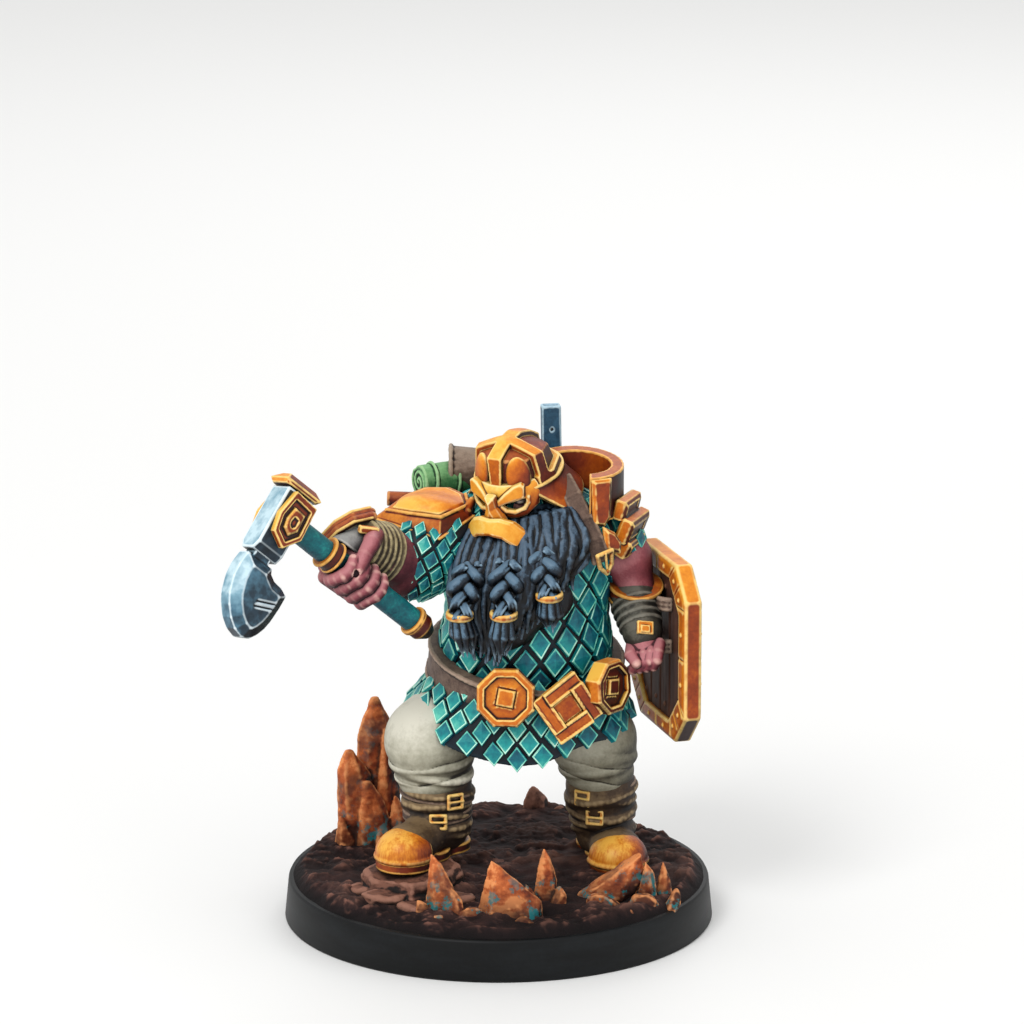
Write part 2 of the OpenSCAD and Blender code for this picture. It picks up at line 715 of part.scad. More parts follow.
module backpack() color("#5f5147") difference() {
    bag();
    torso();
}

module blanket_roll() color("#4f7a55") difference() {
    translate([-6.4, 5.2, 32.3]) rotate([0, 90, 0]) cylinder(r = 1.35, h = 4, $fn = 40);
    cloth_roll_shape();
    torso();
}

module cloth_roll() color("#6a5c4c") difference() {
    cloth_roll_shape();
    bag();
    torso();
}

module pack_rod() color("#7a3c30") difference() {
    translate([-8.3, 4.4, 30.9]) rotate([0, 88, 0]) cylinder(r = 0.5, h = 6, $fn = 32);
    bag();
    torso();
    translate([-6.4, 5.2, 32.3]) rotate([0, 90, 0]) cylinder(r = 1.35, h = 4, $fn = 40);
    cloth_roll_shape();
}

module tool_handle() color("#35586a") difference() {
    translate([4, 6, 30.5]) rotate([0, -1, 8]) translate([-0.75, -0.55, 0]) cube([1.5, 1.1, 7.2]);
    bag();
    cloth_roll_shape();
}

// ---------- one node at a time ----------

base_disc();
ground();
foot_pins();
rock_spires_rear();
rock_shards_front_right();
rock_shards_front_centre();
rock_slabs_front_left();
rock_spike_rear();
rock_ledge();
right_boot();
left_boot();
toe_caps();
soles();
boot_buckles();
right_trouser_leg();
left_trouser_leg();
coat_body();
coat_skirt();
right_sleeve();
left_sleeve();
belt();
belt_buckle();
belt_knot_plate();
belt_medallion();
head();
helm_bowl();
helm_bands();
helm_mask();
helm_moustache();
helm_neck_guard();
beard();
right_braid();
middle_braid();
left_braid();
braid_rings();
right_pauldron();
left_pauldron();
left_pauldron_lames();
shoulder_strap();
strap_buckle();
right_forearm();
right_bracer();
right_hand();
hammer_haft();
hammer_fittings();
hammer_block();
hammer_beak();
hammer_plaques();
hammer_cap();
left_arm();
left_cuff();
left_glove();
left_hand();
shield_board();
shield_rim();
backpack();
blanket_roll();
cloth_roll();
pack_rod();
tool_handle();
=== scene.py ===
"""A painted tabletop miniature on a round base: the looks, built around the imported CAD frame.

Shapes are worked in millimetres in the frame's own axes (+Z up, -Y the way the figure faces) and turned
into metres as each mesh is made. "Right" and "left" are the figure's own: its right hand is at -X.
"""
import math

import bmesh
import bpy
import numpy as np
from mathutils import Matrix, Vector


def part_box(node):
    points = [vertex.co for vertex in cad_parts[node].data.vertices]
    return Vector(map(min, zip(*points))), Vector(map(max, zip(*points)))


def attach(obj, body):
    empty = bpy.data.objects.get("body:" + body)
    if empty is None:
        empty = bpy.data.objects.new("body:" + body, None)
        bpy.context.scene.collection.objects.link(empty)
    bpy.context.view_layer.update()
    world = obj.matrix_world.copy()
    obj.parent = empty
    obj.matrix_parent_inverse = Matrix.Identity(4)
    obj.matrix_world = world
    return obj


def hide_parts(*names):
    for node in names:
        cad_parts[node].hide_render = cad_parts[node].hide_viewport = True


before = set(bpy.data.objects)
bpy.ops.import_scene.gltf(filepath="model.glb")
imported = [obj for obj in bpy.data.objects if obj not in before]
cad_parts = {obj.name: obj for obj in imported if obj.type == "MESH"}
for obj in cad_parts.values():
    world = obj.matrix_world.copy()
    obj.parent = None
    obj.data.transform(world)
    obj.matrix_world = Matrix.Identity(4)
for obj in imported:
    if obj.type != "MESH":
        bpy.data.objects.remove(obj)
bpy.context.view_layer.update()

import openvdb
from mathutils import Matrix, Vector
from mathutils.bvhtree import BVHTree

MM = 0.001
FAR = 9.0
FINE, MEDIUM, COARSE = 0.06, 0.09, 0.13  # cell sizes of the sculpting grids, in mm


# ---------------------------------------------------------------- numbers that the CAD model also uses

BASE_H = 3.1
BASE_R = 16.0
BASE_TOP_R = 15.65
LEDGE_H = 2.3
CREASE_SHADE_REACH = 0.7  # how far the painted shade (a dark lining) in the creases between parts reaches, in mm
DEPTH = 1.2  # over 1 makes every paint colour deeper
TORSO_EGGS = (((2, 0.2, 21), (6.3, 5.9, 4.6)), ((2.2, 0.5, 26.5), (6.3, 5.4, 5)), ((2.2, 0.9, 30), (6.2, 4, 3)))


def turn(x, y, z):
    """The rotation that turns by x, then y, then z degrees about those axes, as a 3x3 array."""
    rx, ry, rz = (Matrix.Rotation(math.radians(a), 3, n) for a, n in ((x, "X"), (y, "Y"), (z, "Z")))
    return np.array(rz @ ry @ rx)


HEAD = (turn(16, 0, -29), np.array((1.35, -1.3, 34.5)))
HAFT = (turn(0, 130.8, 27) @ turn(0, 0, -13), np.array((-10.4, -9, 28.7)))
HEAD_REACH = 7.9
HAMMER = (HAFT[0], HAFT[1] + HAFT[0] @ np.array((0, 0, -HEAD_REACH)))
SHIELD = (turn(0, 0, 17), np.array((12.4, 0.2, 21.2)))
HOME = (np.eye(3), np.zeros(3))


def middle(node):
    """The middle of a CAD node's box, in mm."""
    low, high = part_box(node)
    return np.array((low + high) / 2) / MM


# ---------------------------------------------------------------- sculpting with distances

def blend_min(a, b, soft):
    """The nearer of two distances, melted together over the width soft."""
    if soft <= 0:
        return np.minimum(a, b)
    h = np.maximum(soft - np.abs(a - b), 0) / soft
    return np.minimum(a, b) - h * h * soft / 4


def length(*parts):
    return np.sqrt(sum(p * p for p in parts))


def local(X, Y, Z, at, rot):
    """Grid points seen from a frame at `at`, turned by rot."""
    x, y, z = X - at[0], Y - at[1], Z - at[2]
    return tuple(x * rot[0, i] + y * rot[1, i] + z * rot[2, i] for i in range(3))


class Shape:
    """A distance function and the box that holds it."""

    def __init__(self, distance, low, high):
        self.distance, self.low, self.high = distance, np.array(low, float), np.array(high, float)


def limb(a, b, ra, rb=None):
    """A rod with round ends from a to b."""
    a, b, rb = np.array(a, float), np.array(b, float), ra if rb is None else rb
    d = b - a
    size = max(float(d @ d), 1e-9)

    def distance(X, Y, Z):
        x, y, z = X - a[0], Y - a[1], Z - a[2]
        t = np.clip((x * d[0] + y * d[1] + z * d[2]) / size, 0, 1)
        return length(x - t * d[0], y - t * d[1], z - t * d[2]) - (ra + (rb - ra) * t)
    r = max(ra, rb)
    return Shape(distance, np.minimum(a, b) - r, np.maximum(a, b) + r)


def egg(at, radii, rot=None):
    """An ellipsoid."""
    rot = np.eye(3) if rot is None else rot
    r = np.array(radii, float)

    def distance(X, Y, Z):
        x, y, z = local(X, Y, Z, at, rot)
        near = length(x / r[0], y / r[1], z / r[2])
        steep = length(x / r[0] ** 2, y / r[1] ** 2, z / r[2] ** 2)
        return near * (near - 1) / np.maximum(steep, 1e-6)
    reach = np.abs(rot) @ r
    return Shape(distance, np.array(at) - reach, np.array(at) + reach)


def brick(at, half, rot=None, edge=0.05):
    """A box with half sizes and softened edges."""
    rot = np.eye(3) if rot is None else rot
    h = np.array(half, float)

    def distance(X, Y, Z):
        x, y, z = local(X, Y, Z, at, rot)
        q = [np.abs(v) - s + edge for v, s in zip((x, y, z), h)]
        inside = np.minimum(np.maximum(np.maximum(q[0], q[1]), q[2]), 0)
        return length(*(np.maximum(v, 0) for v in q)) + inside - edge
    reach = np.abs(rot) @ h
    return Shape(distance, np.array(at) - reach, np.array(at) + reach)


def drum(a, b, radius, edge=0.05, radius_b=None):
    """A disc or cylinder from a to b with softened rims; it may taper to radius_b."""
    a, b = np.array(a, float), np.array(b, float)
    d = b - a
    long = float(np.linalg.norm(d))
    d = d / long
    grow = ((radius if radius_b is None else radius_b) - radius) / long

    def distance(X, Y, Z):
        x, y, z = X - a[0], Y - a[1], Z - a[2]
        t = x * d[0] + y * d[1] + z * d[2]
        out = length(x - t * d[0], y - t * d[1], z - t * d[2]) - (radius + grow * np.clip(t, 0, long)) + edge
        end = np.abs(t - long / 2) - long / 2 + edge
        return length(np.maximum(out, 0), np.maximum(end, 0)) + np.minimum(np.maximum(out, end), 0) - edge
    r = max(radius, radius if radius_b is None else radius_b)
    return Shape(distance, np.minimum(a, b) - r, np.maximum(a, b) + r)


def flat_distance(u, v, outline):
    """Signed distance in a plane to a closed outline."""
    points = np.array(outline, float)
    best, sign = None, None
    for p, q in zip(points, np.roll(points, 1, 0)):
        e = q - p
        wx, wy = u - p[0], v - p[1]
        t = np.clip((wx * e[0] + wy * e[1]) / (e @ e), 0, 1)
        d = (wx - e[0] * t) ** 2 + (wy - e[1] * t) ** 2
        above, below, side = v >= p[1], v < q[1], e[0] * wy > e[1] * wx
        flip = np.where((above & below & side) | (~above & ~below & ~side), -1.0, 1.0)
        best = d if best is None else np.minimum(best, d)
        sign = flip if sign is None else sign * flip
    return sign * np.sqrt(best)


def slab(outline, at, rot, thick, edge=0.05, bevel=0.0, slope=0.5, bend=0.0):
    """A plate with an outline in its own XZ plane and its thickness along its own Y.
    bevel thins it towards its outline, and bend curls its ends back along +Y."""
    reach = max(math.hypot(*p) for p in outline) + thick + abs(bend) * 4

    def distance(X, Y, Z):
        x, y, z = local(X, Y, Z, at, rot)
        side = flat_distance(x, z, outline)
        face = np.abs(y - bend * x * x) - thick / 2
        if bevel:
            face = face + np.maximum(side + bevel, 0) * slope
        a, b = side + edge, face + edge
        return length(np.maximum(a, 0), np.maximum(b, 0)) + np.minimum(np.maximum(a, b), 0) - edge
    return Shape(distance, np.array(at) - reach, np.array(at) + reach)


def crystal(points, edge=0.0):
    """The solid that wraps tightly round some points, with flat facets."""
    bm = bmesh.new()
    for p in points:
        bm.verts.new(p)
    bmesh.ops.convex_hull(bm, input=bm.verts)
    bm.normal_update()
    planes = {}
    for f in bm.faces:
        n = np.array(f.normal)
        planes[tuple(np.round(n, 2))] = (n, float(n @ np.array(f.verts[0].co)))
    bm.free()
    planes = list(planes.values())

    def distance(X, Y, Z):
        best = None
        for n, d in planes:
            v = X * n[0] + Y * n[1] + Z * n[2] - d
            best = v if best is None else blend_min(best * -1, v * -1, edge) * -1
        return best
    points = np.array(points, float)
    return Shape(distance, points.min(0), points.max(0))


def posed(shape, frame_at):
    """A shape made in a local frame (rotation, origin), seen in the outer frame."""
    rot, at = frame_at
    corners = np.array([[x, y, z] for x in (shape.low[0], shape.high[0]) for y in (shape.low[1], shape.high[1])
                        for z in (shape.low[2], shape.high[2])]) @ rot.T + at

    def distance(X, Y, Z):
        return shape.distance(*local(X, Y, Z, at, rot))
    return Shape(distance, corners.min(0), corners.max(0))


def spread(values, a, b):
    """Each point's mean over its neighbours along the edges a-b."""
    n = len(values)
    count = np.maximum(np.bincount(a, minlength=n) + np.bincount(b, minlength=n), 1)
    total = [np.bincount(a, values[b, k], n) + np.bincount(b, values[a, k], n) for k in range(values.shape[1])]
    return np.stack(total, 1) / count[:, None]


LONG_PATH = 12           # paths with more points than this are curves, and are rounded


def rounded_path(points, radii):
    """The same path with a Catmull-Rom point in the middle of every step."""
    closed = length(*(points[0] - points[-1])) < 1e-6
    before = [points[-2] if closed else points[0]] + points[:-1]
    after = points[1:] + [points[1] if closed else points[-1]]
    path, sizes = [points[0]], [radii[0]]
    for i in range(len(points) - 1):
        path += [(9 * (points[i] + points[i + 1]) - before[i] - after[i + 1]) / 16, points[i + 1]]
        sizes += [(radii[i] + radii[i + 1]) / 2, radii[i + 1]]
    return path, sizes


class Clay:
    """A grid of distances that shapes are joined to and cut from. It becomes one Blender mesh."""

    def __init__(self, low, high, cell=MEDIUM, place=HOME):
        self.cell, self.place = cell, place
        self.low = np.array(low, float) - 4 * cell
        count = np.ceil((np.array(high, float) + 4 * cell - self.low) / cell).astype(int) + 1
        self.axes = [(self.low[i] + cell * np.arange(count[i])).astype(np.float32) for i in range(3)]
        self.field = np.full(count, FAR, np.float32)

    def window(self, low, high, pad):
        cut = [slice(*np.searchsorted(self.axes[i], (low[i] - pad, high[i] + pad))) for i in range(3)]
        x, y, z = (self.axes[i][cut[i]] for i in range(3))
        return tuple(cut), x[:, None, None], y[None, :, None], z[None, None, :]

    def join(self, shape, soft=0.08):
        cut, X, Y, Z = self.window(shape.low, shape.high, soft + 4 * self.cell)
        if self.field[cut].size:
            self.field[cut] = blend_min(self.field[cut], shape.distance(X, Y, Z), soft)
        return self

    def cut(self, shape, soft=0.05):
        cut, X, Y, Z = self.window(shape.low, shape.high, soft + 4 * self.cell)
        if self.field[cut].size:
            self.field[cut] = -blend_min(-self.field[cut], shape.distance(X, Y, Z), soft)
        return self

    def keep(self, shape, soft=0.05):
        X, Y, Z = (self.axes[0][:, None, None], self.axes[1][None, :, None], self.axes[2][None, None, :])
        self.field = -blend_min(-self.field, -shape.distance(X, Y, Z), soft).astype(np.float32)
        return self

    def rope(self, points, radii, soft=0.08):
        """A chain of rods through points; radii is one number or one for each point."""
        radii = [radii] * len(points) if np.isscalar(radii) else radii
        points = [np.array(p, float) for p in points]
        if len(points) > LONG_PATH:
            points, radii = rounded_path(points, radii)
        pad = soft + 4 * self.cell
        whole, _, _, _ = self.window(np.min(points, 0) - max(radii), np.max(points, 0) + max(radii), pad)
        chain = np.full(self.field[whole].shape, FAR, np.float32)
        for i in range(len(points) - 1):
            rod = limb(points[i], points[i + 1], radii[i], radii[i + 1])
            cut, X, Y, Z = self.window(rod.low, rod.high, pad)
            inner = tuple(slice(c.start - w.start, c.stop - w.start) for c, w in zip(cut, whole))
            if chain[inner].size:
                chain[inner] = np.minimum(chain[inner], rod.distance(X, Y, Z))
        if chain.size:
            self.field[whole] = blend_min(self.field[whole], chain, soft)
        return self

    def mesh(self, name, dent=None, smooth=1):
        """The surface, as a Blender object. dent(points, normals) gives how far each point moves out, in mm."""
        grid = openvdb.FloatGrid(FAR)
        grid.copyFromArray(self.field)
        points, triangles, quads = grid.convertToPolygons(0.0, 0.0)
        points = points.astype(float) * self.cell + self.low
        faces = [tuple(f) for f in quads] + [tuple(f) for f in triangles]
        edges = np.concatenate([quads[:, [0, 1]], quads[:, [1, 2]], quads[:, [2, 3]], quads[:, [3, 0]]]
                               + [triangles[:, [0, 1]], triangles[:, [1, 2]], triangles[:, [2, 0]]]).astype(int)
        a, b = edges[:, 0], edges[:, 1]
        for _ in range(smooth):
            points = 0.5 * points + 0.5 * spread(points, a, b)
        rot, at = self.place
        points = points @ rot.T + at
        data = bpy.data.meshes.new(name)
        data.from_pydata((points * MM).tolist(), [], faces)
        if dent is not None:
            points = points + normals_of(data) * dent(points, normals_of(data))[:, None]
            data.vertices.foreach_set("co", (points * MM).ravel())
        data.update()
        normals = normals_of(data)
        # relief marks ridges for the painted highlights; hollow marks dips for the washed hollows and painted shade
        near, wide = points, points
        for step in range(14):
            wide = spread(wide, a, b)
            near = wide if step == 2 else near
        edge_scale, wide_scale = 0.35 * self.cell * 1.2, 0.35 * self.cell * 2.6
        relief = ((points - near) * normals).sum(1) / edge_scale
        hollow = -((points - wide) * normals).sum(1) / wide_scale
        # the ridge marks are widened by one step so the painted highlight lines are wider
        grown = relief.copy()
        np.maximum.at(grown, a, relief[b])
        np.maximum.at(grown, b, relief[a])
        attribute(data, "relief", spread(grown[:, None], a, b)[:, 0])
        attribute(data, "hollow", hollow)
        data.polygons.foreach_set("use_smooth", [True] * len(data.polygons))
        thing = bpy.data.objects.new(name, data)
        bpy.context.scene.collection.objects.link(thing)
        return thing


def normals_of(data):
    out = np.zeros(len(data.vertices) * 3, np.float32)
    data.vertex_normals.foreach_get("vector", out)
    return out.reshape(-1, 3).astype(float)


def attribute(data, name, values):
    data.attributes.new(name, "FLOAT", "POINT").data.foreach_set("value", np.asarray(values, np.float32))


# ---------------------------------------------------------------- noise for shapes

RANDOM = np.random.RandomState(7)
LATTICE = RANDOM.rand(32, 32, 32)


def noise(points, size, seed=0):
    """Smooth noise from 0 to 1 with bumps about `size` mm across."""
    p = points / size + seed * 7.31
    base = np.floor(p).astype(int)
    t = p - base
    t = t * t * (3 - 2 * t)
    out = 0
    for dx in (0, 1):
        for dy in (0, 1):
            for dz in (0, 1):
                w = ((t[:, 0] if dx else 1 - t[:, 0]) * (t[:, 1] if dy else 1 - t[:, 1])
                     * (t[:, 2] if dz else 1 - t[:, 2]))
                out = out + w * LATTICE[(base[:, 0] + dx) % 32, (base[:, 1] + dy) % 32, (base[:, 2] + dz) % 32]
    return out


def rough_noise(points, size, seed=0, layers=4):
    out, total, weight = 0, 0, 1.0
    for i in range(layers):
        out = out + weight * noise(points, size / 2 ** i, seed + i)
        total, weight = total + weight, weight * 0.55
    return out / total


# ---------------------------------------------------------------- painted materials

def colour(code):
    """A hex colour as linear values, a little deeper than it is written."""
    parts = [int(code[i:i + 2], 16) / 255 for i in (1, 3, 5)]
    return tuple((c / 12.92 if c <= 0.04045 else ((c + 0.055) / 1.055) ** 2.4) ** DEPTH for c in parts) + (1.0,)


class Nodes:
    """Short ways to add and link shader nodes."""

    def __init__(self, name):
        self.material = bpy.data.materials.new(name)
        self.material.use_nodes = True
        self.tree = self.material.node_tree
        self.shader = self.tree.nodes["Principled BSDF"]

    def add(self, kind, **settings):
        node = self.tree.nodes.new(kind)
        for key, value in settings.items():
            setattr(node, key, value)
        return node

    def link(self, a, b):
        self.tree.links.new(a, b)

    def put(self, socket, value):
        if hasattr(value, "is_linked"):
            self.link(value, socket)
        else:
            socket.default_value = value

    def math(self, operation, a, b=0.0, clamp=False):
        node = self.add("ShaderNodeMath", operation=operation, use_clamp=clamp)
        self.put(node.inputs[0], a)
        self.put(node.inputs[1], b)
        return node.outputs[0]

    def spread(self, value, low, high, to_low=0.0, to_high=1.0):
        node = self.add("ShaderNodeMapRange", interpolation_type="SMOOTHSTEP")
        self.put(node.inputs[0], value)
        for i, v in enumerate((low, high, to_low, to_high)):
            node.inputs[i + 1].default_value = v
        return node.outputs[0]

    def attribute(self, name):
        return self.add("ShaderNodeAttribute", attribute_name=name).outputs["Fac"]

    def facing(self, direction):
        """How far the surface faces a direction of the figure's own space, from -1 to 1."""
        normal = self.add("ShaderNodeTexCoord").outputs["Normal"]
        node = self.add("ShaderNodeVectorMath", operation="DOT_PRODUCT")
        self.link(normal, node.inputs[0])
        node.inputs[1].default_value = Vector(direction).normalized()
        return node.outputs["Value"]

    def noise(self, size, detail=3.0, stretch=(1, 1, 1), rough=0.55):
        """Noise with bumps about `size` mm across."""
        where = self.add("ShaderNodeTexCoord").outputs["Object"]
        scale = self.add("ShaderNodeVectorMath", operation="MULTIPLY")
        self.link(where, scale.inputs[0])
        scale.inputs[1].default_value = stretch
        node = self.add("ShaderNodeTexNoise")
        self.link(scale.outputs[0], node.inputs["Vector"])
        node.inputs["Scale"].default_value = 1 / (size * MM)
        node.inputs["Detail"].default_value = detail
        node.inputs["Roughness"].default_value = rough
        return node.outputs["Fac"]

    def ramp(self, value, stops):
        node = self.add("ShaderNodeValToRGB")
        ramp = node.color_ramp
        while len(ramp.elements) < len(stops):
            ramp.elements.new(0.5)
        for element, (at, code) in zip(ramp.elements, stops):
            element.position = at
            element.color = colour(code)
        self.put(node.inputs[0], value)
        return node.outputs[0]

    def mix(self, amount, a, b, how="MIX"):
        node = self.add("ShaderNodeMix", data_type="RGBA", blend_type=how, clamp_factor=True)
        self.put(node.inputs[0], amount)
        self.put(node.inputs[6], a)
        self.put(node.inputs[7], b)
        return node.outputs[2]

    def bump(self, height, depth):
        node = self.add("ShaderNodeBump")
        node.inputs["Strength"].default_value = 1.0
        node.inputs["Distance"].default_value = depth * MM
        self.link(height, node.inputs["Height"])
        self.link(node.outputs[0], self.shader.inputs["Normal"])

    def finish(self, base, rough=0.5, specular=0.35, coat=0.0):
        self.put(self.shader.inputs["Base Color"], base)
        self.shader.inputs["Roughness"].default_value = rough
        self.shader.inputs["Specular IOR Level"].default_value = specular
        self.shader.inputs["Coat Weight"].default_value = coat
        return self.material


SKY = (-0.45, -0.5, 0.75)  # where the painted light comes from


def painted(name, stops, edge, dark, grain=0.22, stroke=0.9, stretch=(1, 1, 1), edge_from=0.22, edge_to=0.52,
            edge_amount=0.9, wash_and_shade=0.85, wash_and_shade_from=0.12, wash_and_shade_to=0.7, rough=0.5, specular=0.3, bump=0.012,
            lift=0.0, contrast=0.5):
    """Layered miniature paint: a painted light from above, brush strokes, dark washed hollows with painted shade, pale
    painted highlights on edges and painted shade in creases.
    """
    n = Nodes(name)
    # painted light: lighter where the surface faces SKY. edge is the pale painted highlight colour; dark is the colour
    # of the washed hollows and the painted shade
    light = n.math("MULTIPLY_ADD", n.facing(SKY), contrast)
    light.node.inputs[2].default_value = 0.5 + lift
    strokes = n.math("SUBTRACT", n.noise(stroke, 4, stretch), 0.5)
    value = n.math("ADD", light, n.math("MULTIPLY", strokes, grain * 2))
    fleck = n.math("SUBTRACT", n.noise(stroke * 0.22, 2, stretch), 0.5)
    value = n.math("ADD", value, n.math("MULTIPLY", fleck, grain))
    relief = n.attribute("relief")
    hollow = n.attribute("hollow")
    # washed hollows and painted shade: darker where the surface dips
    value = n.math("SUBTRACT", value, n.math("MULTIPLY", n.spread(hollow, wash_and_shade_from, wash_and_shade_to), 0.35))
    base = n.ramp(value, stops)
    base = n.mix(n.math("MULTIPLY", n.spread(hollow, wash_and_shade_from, wash_and_shade_to), wash_and_shade), base, colour(dark))
    # painted highlight: pale lines on raised edges, brighter where the edge faces up, broken up by noise
    up = n.spread(n.facing((-0.2, -0.35, 1)), -0.9, 0.5, 0.45, 1.0)
    broken = n.spread(n.noise(stroke * 0.6, 2), 0.3, 0.6, 0.6, 1.0)
    line = n.math("MULTIPLY", n.math("MULTIPLY", n.spread(relief, edge_from, edge_to), up), broken)
    base = n.mix(n.math("MULTIPLY", line, edge_amount), base, colour(edge))
    # painted shade: darker in the creases, where other surfaces come close
    crease = n.add("ShaderNodeAmbientOcclusion")
    crease.samples = 6
    crease.inputs["Distance"].default_value = CREASE_SHADE_REACH * MM
    shade = n.spread(crease.outputs["AO"], 0.25, 0.85, 0.8, 0.0)
    base = n.mix(shade, base, colour(dark))
    n.bump(n.noise(stroke * 0.3, 3, stretch), bump)
    return n.finish(base, rough, specular)


# Each paint below: ramp stops run from painted shade to painted light, then the pale painted highlight colour for edges
# and the dark colour of the washed hollows and painted shade.
GOLD = painted("gold_paint", ((0.15, "#32110f"), (0.36, "#6a2816"), (0.54, "#a34d1c"), (0.7, "#d27a22"),
                              (0.86, "#eda035"), (0.98, "#f8c860")), "#ffdf92", "#260c0b", grain=0.16, stroke=1.1,
               rough=0.42, lift=-0.24, contrast=0.74)
GOLD_DEEP = painted("deep_gold_paint", ((0.15, "#240c0b"), (0.42, "#5a2014"), (0.64, "#8c3d1a"), (0.82, "#b9631f"),
                                        (0.98, "#e09434")), "#f9c670", "#1c0808", grain=0.16, stroke=1.1, rough=0.45, lift=-0.22,
                    contrast=0.7)
# A lighter gold for the face plate and moustache: their brighter paint, plus painted light on their downward faces.
MASK_GOLD = painted("mask_gold_paint", ((0.15, "#5a2312"), (0.36, "#98481b"), (0.55, "#cf7d24"), (0.72, "#eda438"),
                                        (0.9, "#f8c65c"), (1.0, "#fddc86")), "#ffeab0", "#260c0b", grain=0.16, stroke=1.1,
                    rough=0.42, lift=-0.08, contrast=0.66)
TOE_GOLD = painted("toe_gold_paint", ((0.2, "#3a1510"), (0.45, "#7c3517"), (0.66, "#b4601f"), (0.84, "#dd8f30"),
                                      (0.99, "#f4bf5c")), "#ffd98a", "#260c0b", grain=0.3, stroke=0.7,
                   stretch=(1, 1, 0.3), rough=0.42, lift=-0.12, contrast=0.62)
RED_BROWN = painted("red_brown_paint", ((0.1, "#240d0d"), (0.45, "#57221a"), (0.75, "#8a3d27"), (0.97, "#bd6c3c")),
                    "#e0a468", "#1f0a0a", grain=0.26, stroke=0.8, lift=-0.16, contrast=0.66)
STEEL = painted("steel_paint", ((0.2, "#1a242c"), (0.42, "#384d5b"), (0.6, "#5f8598"), (0.8, "#8fb4c4"),
                                (0.99, "#cfe6ee")), "#f0fbff", "#10181f", grain=0.42, stroke=3.2, rough=0.4, lift=-0.27, contrast=0.74)
BLUE_STEEL = painted("blue_steel_paint", ((0.15, "#0f1f2b"), (0.5, "#27465a"), (0.75, "#46708a"), (0.95, "#a9cbdc")),
                     "#c6dfea", "#0a141c", grain=0.24, lift=-0.16, contrast=0.7)
HAFT_PAINT = painted("haft_paint", ((0.15, "#0a2233"), (0.42, "#0d4c5c"), (0.68, "#157a80"), (0.95, "#3fb5a8")),
                     "#9ef0dc", "#071a26", grain=0.3, stroke=0.7)
SKIN = painted("skin_paint", ((0.15, "#2c131c"), (0.42, "#5f2f3a"), (0.66, "#96545c"), (0.9, "#c4868a")),
               "#ecc3b8", "#30121e", grain=0.14, stroke=0.7, wash_and_shade=0.8, rough=0.55)
BEARD = painted("beard_paint", ((0.15, "#0b0e13"), (0.5, "#171d26"), (0.75, "#2b3744"), (0.98, "#5b7083")),
                "#8fa9bd", "#040507", grain=0.34, stroke=0.5, edge_from=0.35, edge_to=1.1, edge_amount=0.6,
                wash_and_shade_from=-0.1, wash_and_shade_to=0.4, rough=0.42, lift=-0.24, contrast=0.8)
PLAIT = painted("plait_paint", ((0.15, "#0c1016"), (0.5, "#1a222d"), (0.75, "#33424f"), (0.98, "#6d879b")),
                "#a4bdce", "#040507", grain=0.34, stroke=0.5, edge_from=0.3, edge_to=1.0, edge_amount=0.7,
                wash_and_shade_from=-0.1, wash_and_shade_to=0.4, rough=0.42, lift=-0.14, contrast=0.8)
TROUSERS = painted("trouser_paint", ((0.15, "#2b2924"), (0.36, "#5a574c"), (0.56, "#918e7d"), (0.78, "#bfbcab"), (0.97, "#e0ddcf")),
                   "#e4e0cf", "#2a2723", grain=0.14, stroke=0.9, rough=0.62, wash_and_shade_from=0.1, wash_and_shade_to=0.7)
BOOTS = painted("boot_paint", ((0.15, "#171110"), (0.45, "#382b22"), (0.7, "#5b4937"), (0.95, "#8a7558")),
                "#bfa883", "#17100d", grain=0.22, stroke=0.8, rough=0.6)
LEATHER = painted("leather_paint", ((0.15, "#1c1310"), (0.45, "#3f3029"), (0.72, "#65524a"), (0.95, "#8f7a6c")),
                  "#c0aa98", "#1c120f", grain=0.24, stroke=0.7, rough=0.6)
STRAP = painted("strap_paint", ((0.2, "#120c0a"), (0.5, "#33251f"), (0.78, "#55433a"), (0.98, "#7d675a")),
                "#a08a78", "#0c0706", grain=0.24, stroke=0.7, rough=0.6)
BRACER = painted("bracer_paint", ((0.15, "#1c1610"), (0.45, "#40372a"), (0.7, "#665a44"), (0.95, "#94866a")),
                 "#c4b68e", "#17120c", grain=0.2, stroke=0.6, rough=0.6)
GLOVE = painted("glove_paint", ((0.12, "#0f0f0e"), (0.45, "#2e2d29"), (0.75, "#4f4d45"), (0.95, "#77746a")),
                "#8f8c82", "#090908", grain=0.22, stroke=0.7, rough=0.62)
BOARD = painted("board_paint", ((0.12, "#170c0b"), (0.45, "#33201c"), (0.7, "#543830"), (0.95, "#7e5a4a")),
                "#8d6a58", "#0d0606", grain=0.3, stroke=1.2, stretch=(1, 1, 0.15), rough=0.6)
GREEN = painted("green_paint", ((0.1, "#14261b"), (0.4, "#2f5a3c"), (0.66, "#4f8a5a"), (0.92, "#8fc08a")),
                "#b0d8a4", "#0c1710", grain=0.2, stroke=0.7, rough=0.62)
CLOTH = painted("cloth_paint", ((0.12, "#221a17"), (0.45, "#4f4239"), (0.72, "#78685a"), (0.95, "#a39282")),
                "#b8a896", "#17110f", grain=0.2, stroke=0.6, rough=0.65)
ROCK = painted("rock_paint", ((0.12, "#2d1a1a"), (0.38, "#6e3a2a"), (0.58, "#b0603a"), (0.8, "#d98350"),
                              (0.97, "#f0b07c")), "#f6c493", "#23120f", grain=0.3, stroke=1.3, rough=0.7)
# Near-black body under the scales, seen in their gaps: dark undercoat paint, and painted shade between the scales.
UNDERCOAT_AND_SHADE = painted("gap_shade_paint", ((0.2, "#060d16"), (0.8, "#0d2230")), "#12303c", "#04080d", grain=0.1)


# ---------------------------------------------------------------- putting pieces in

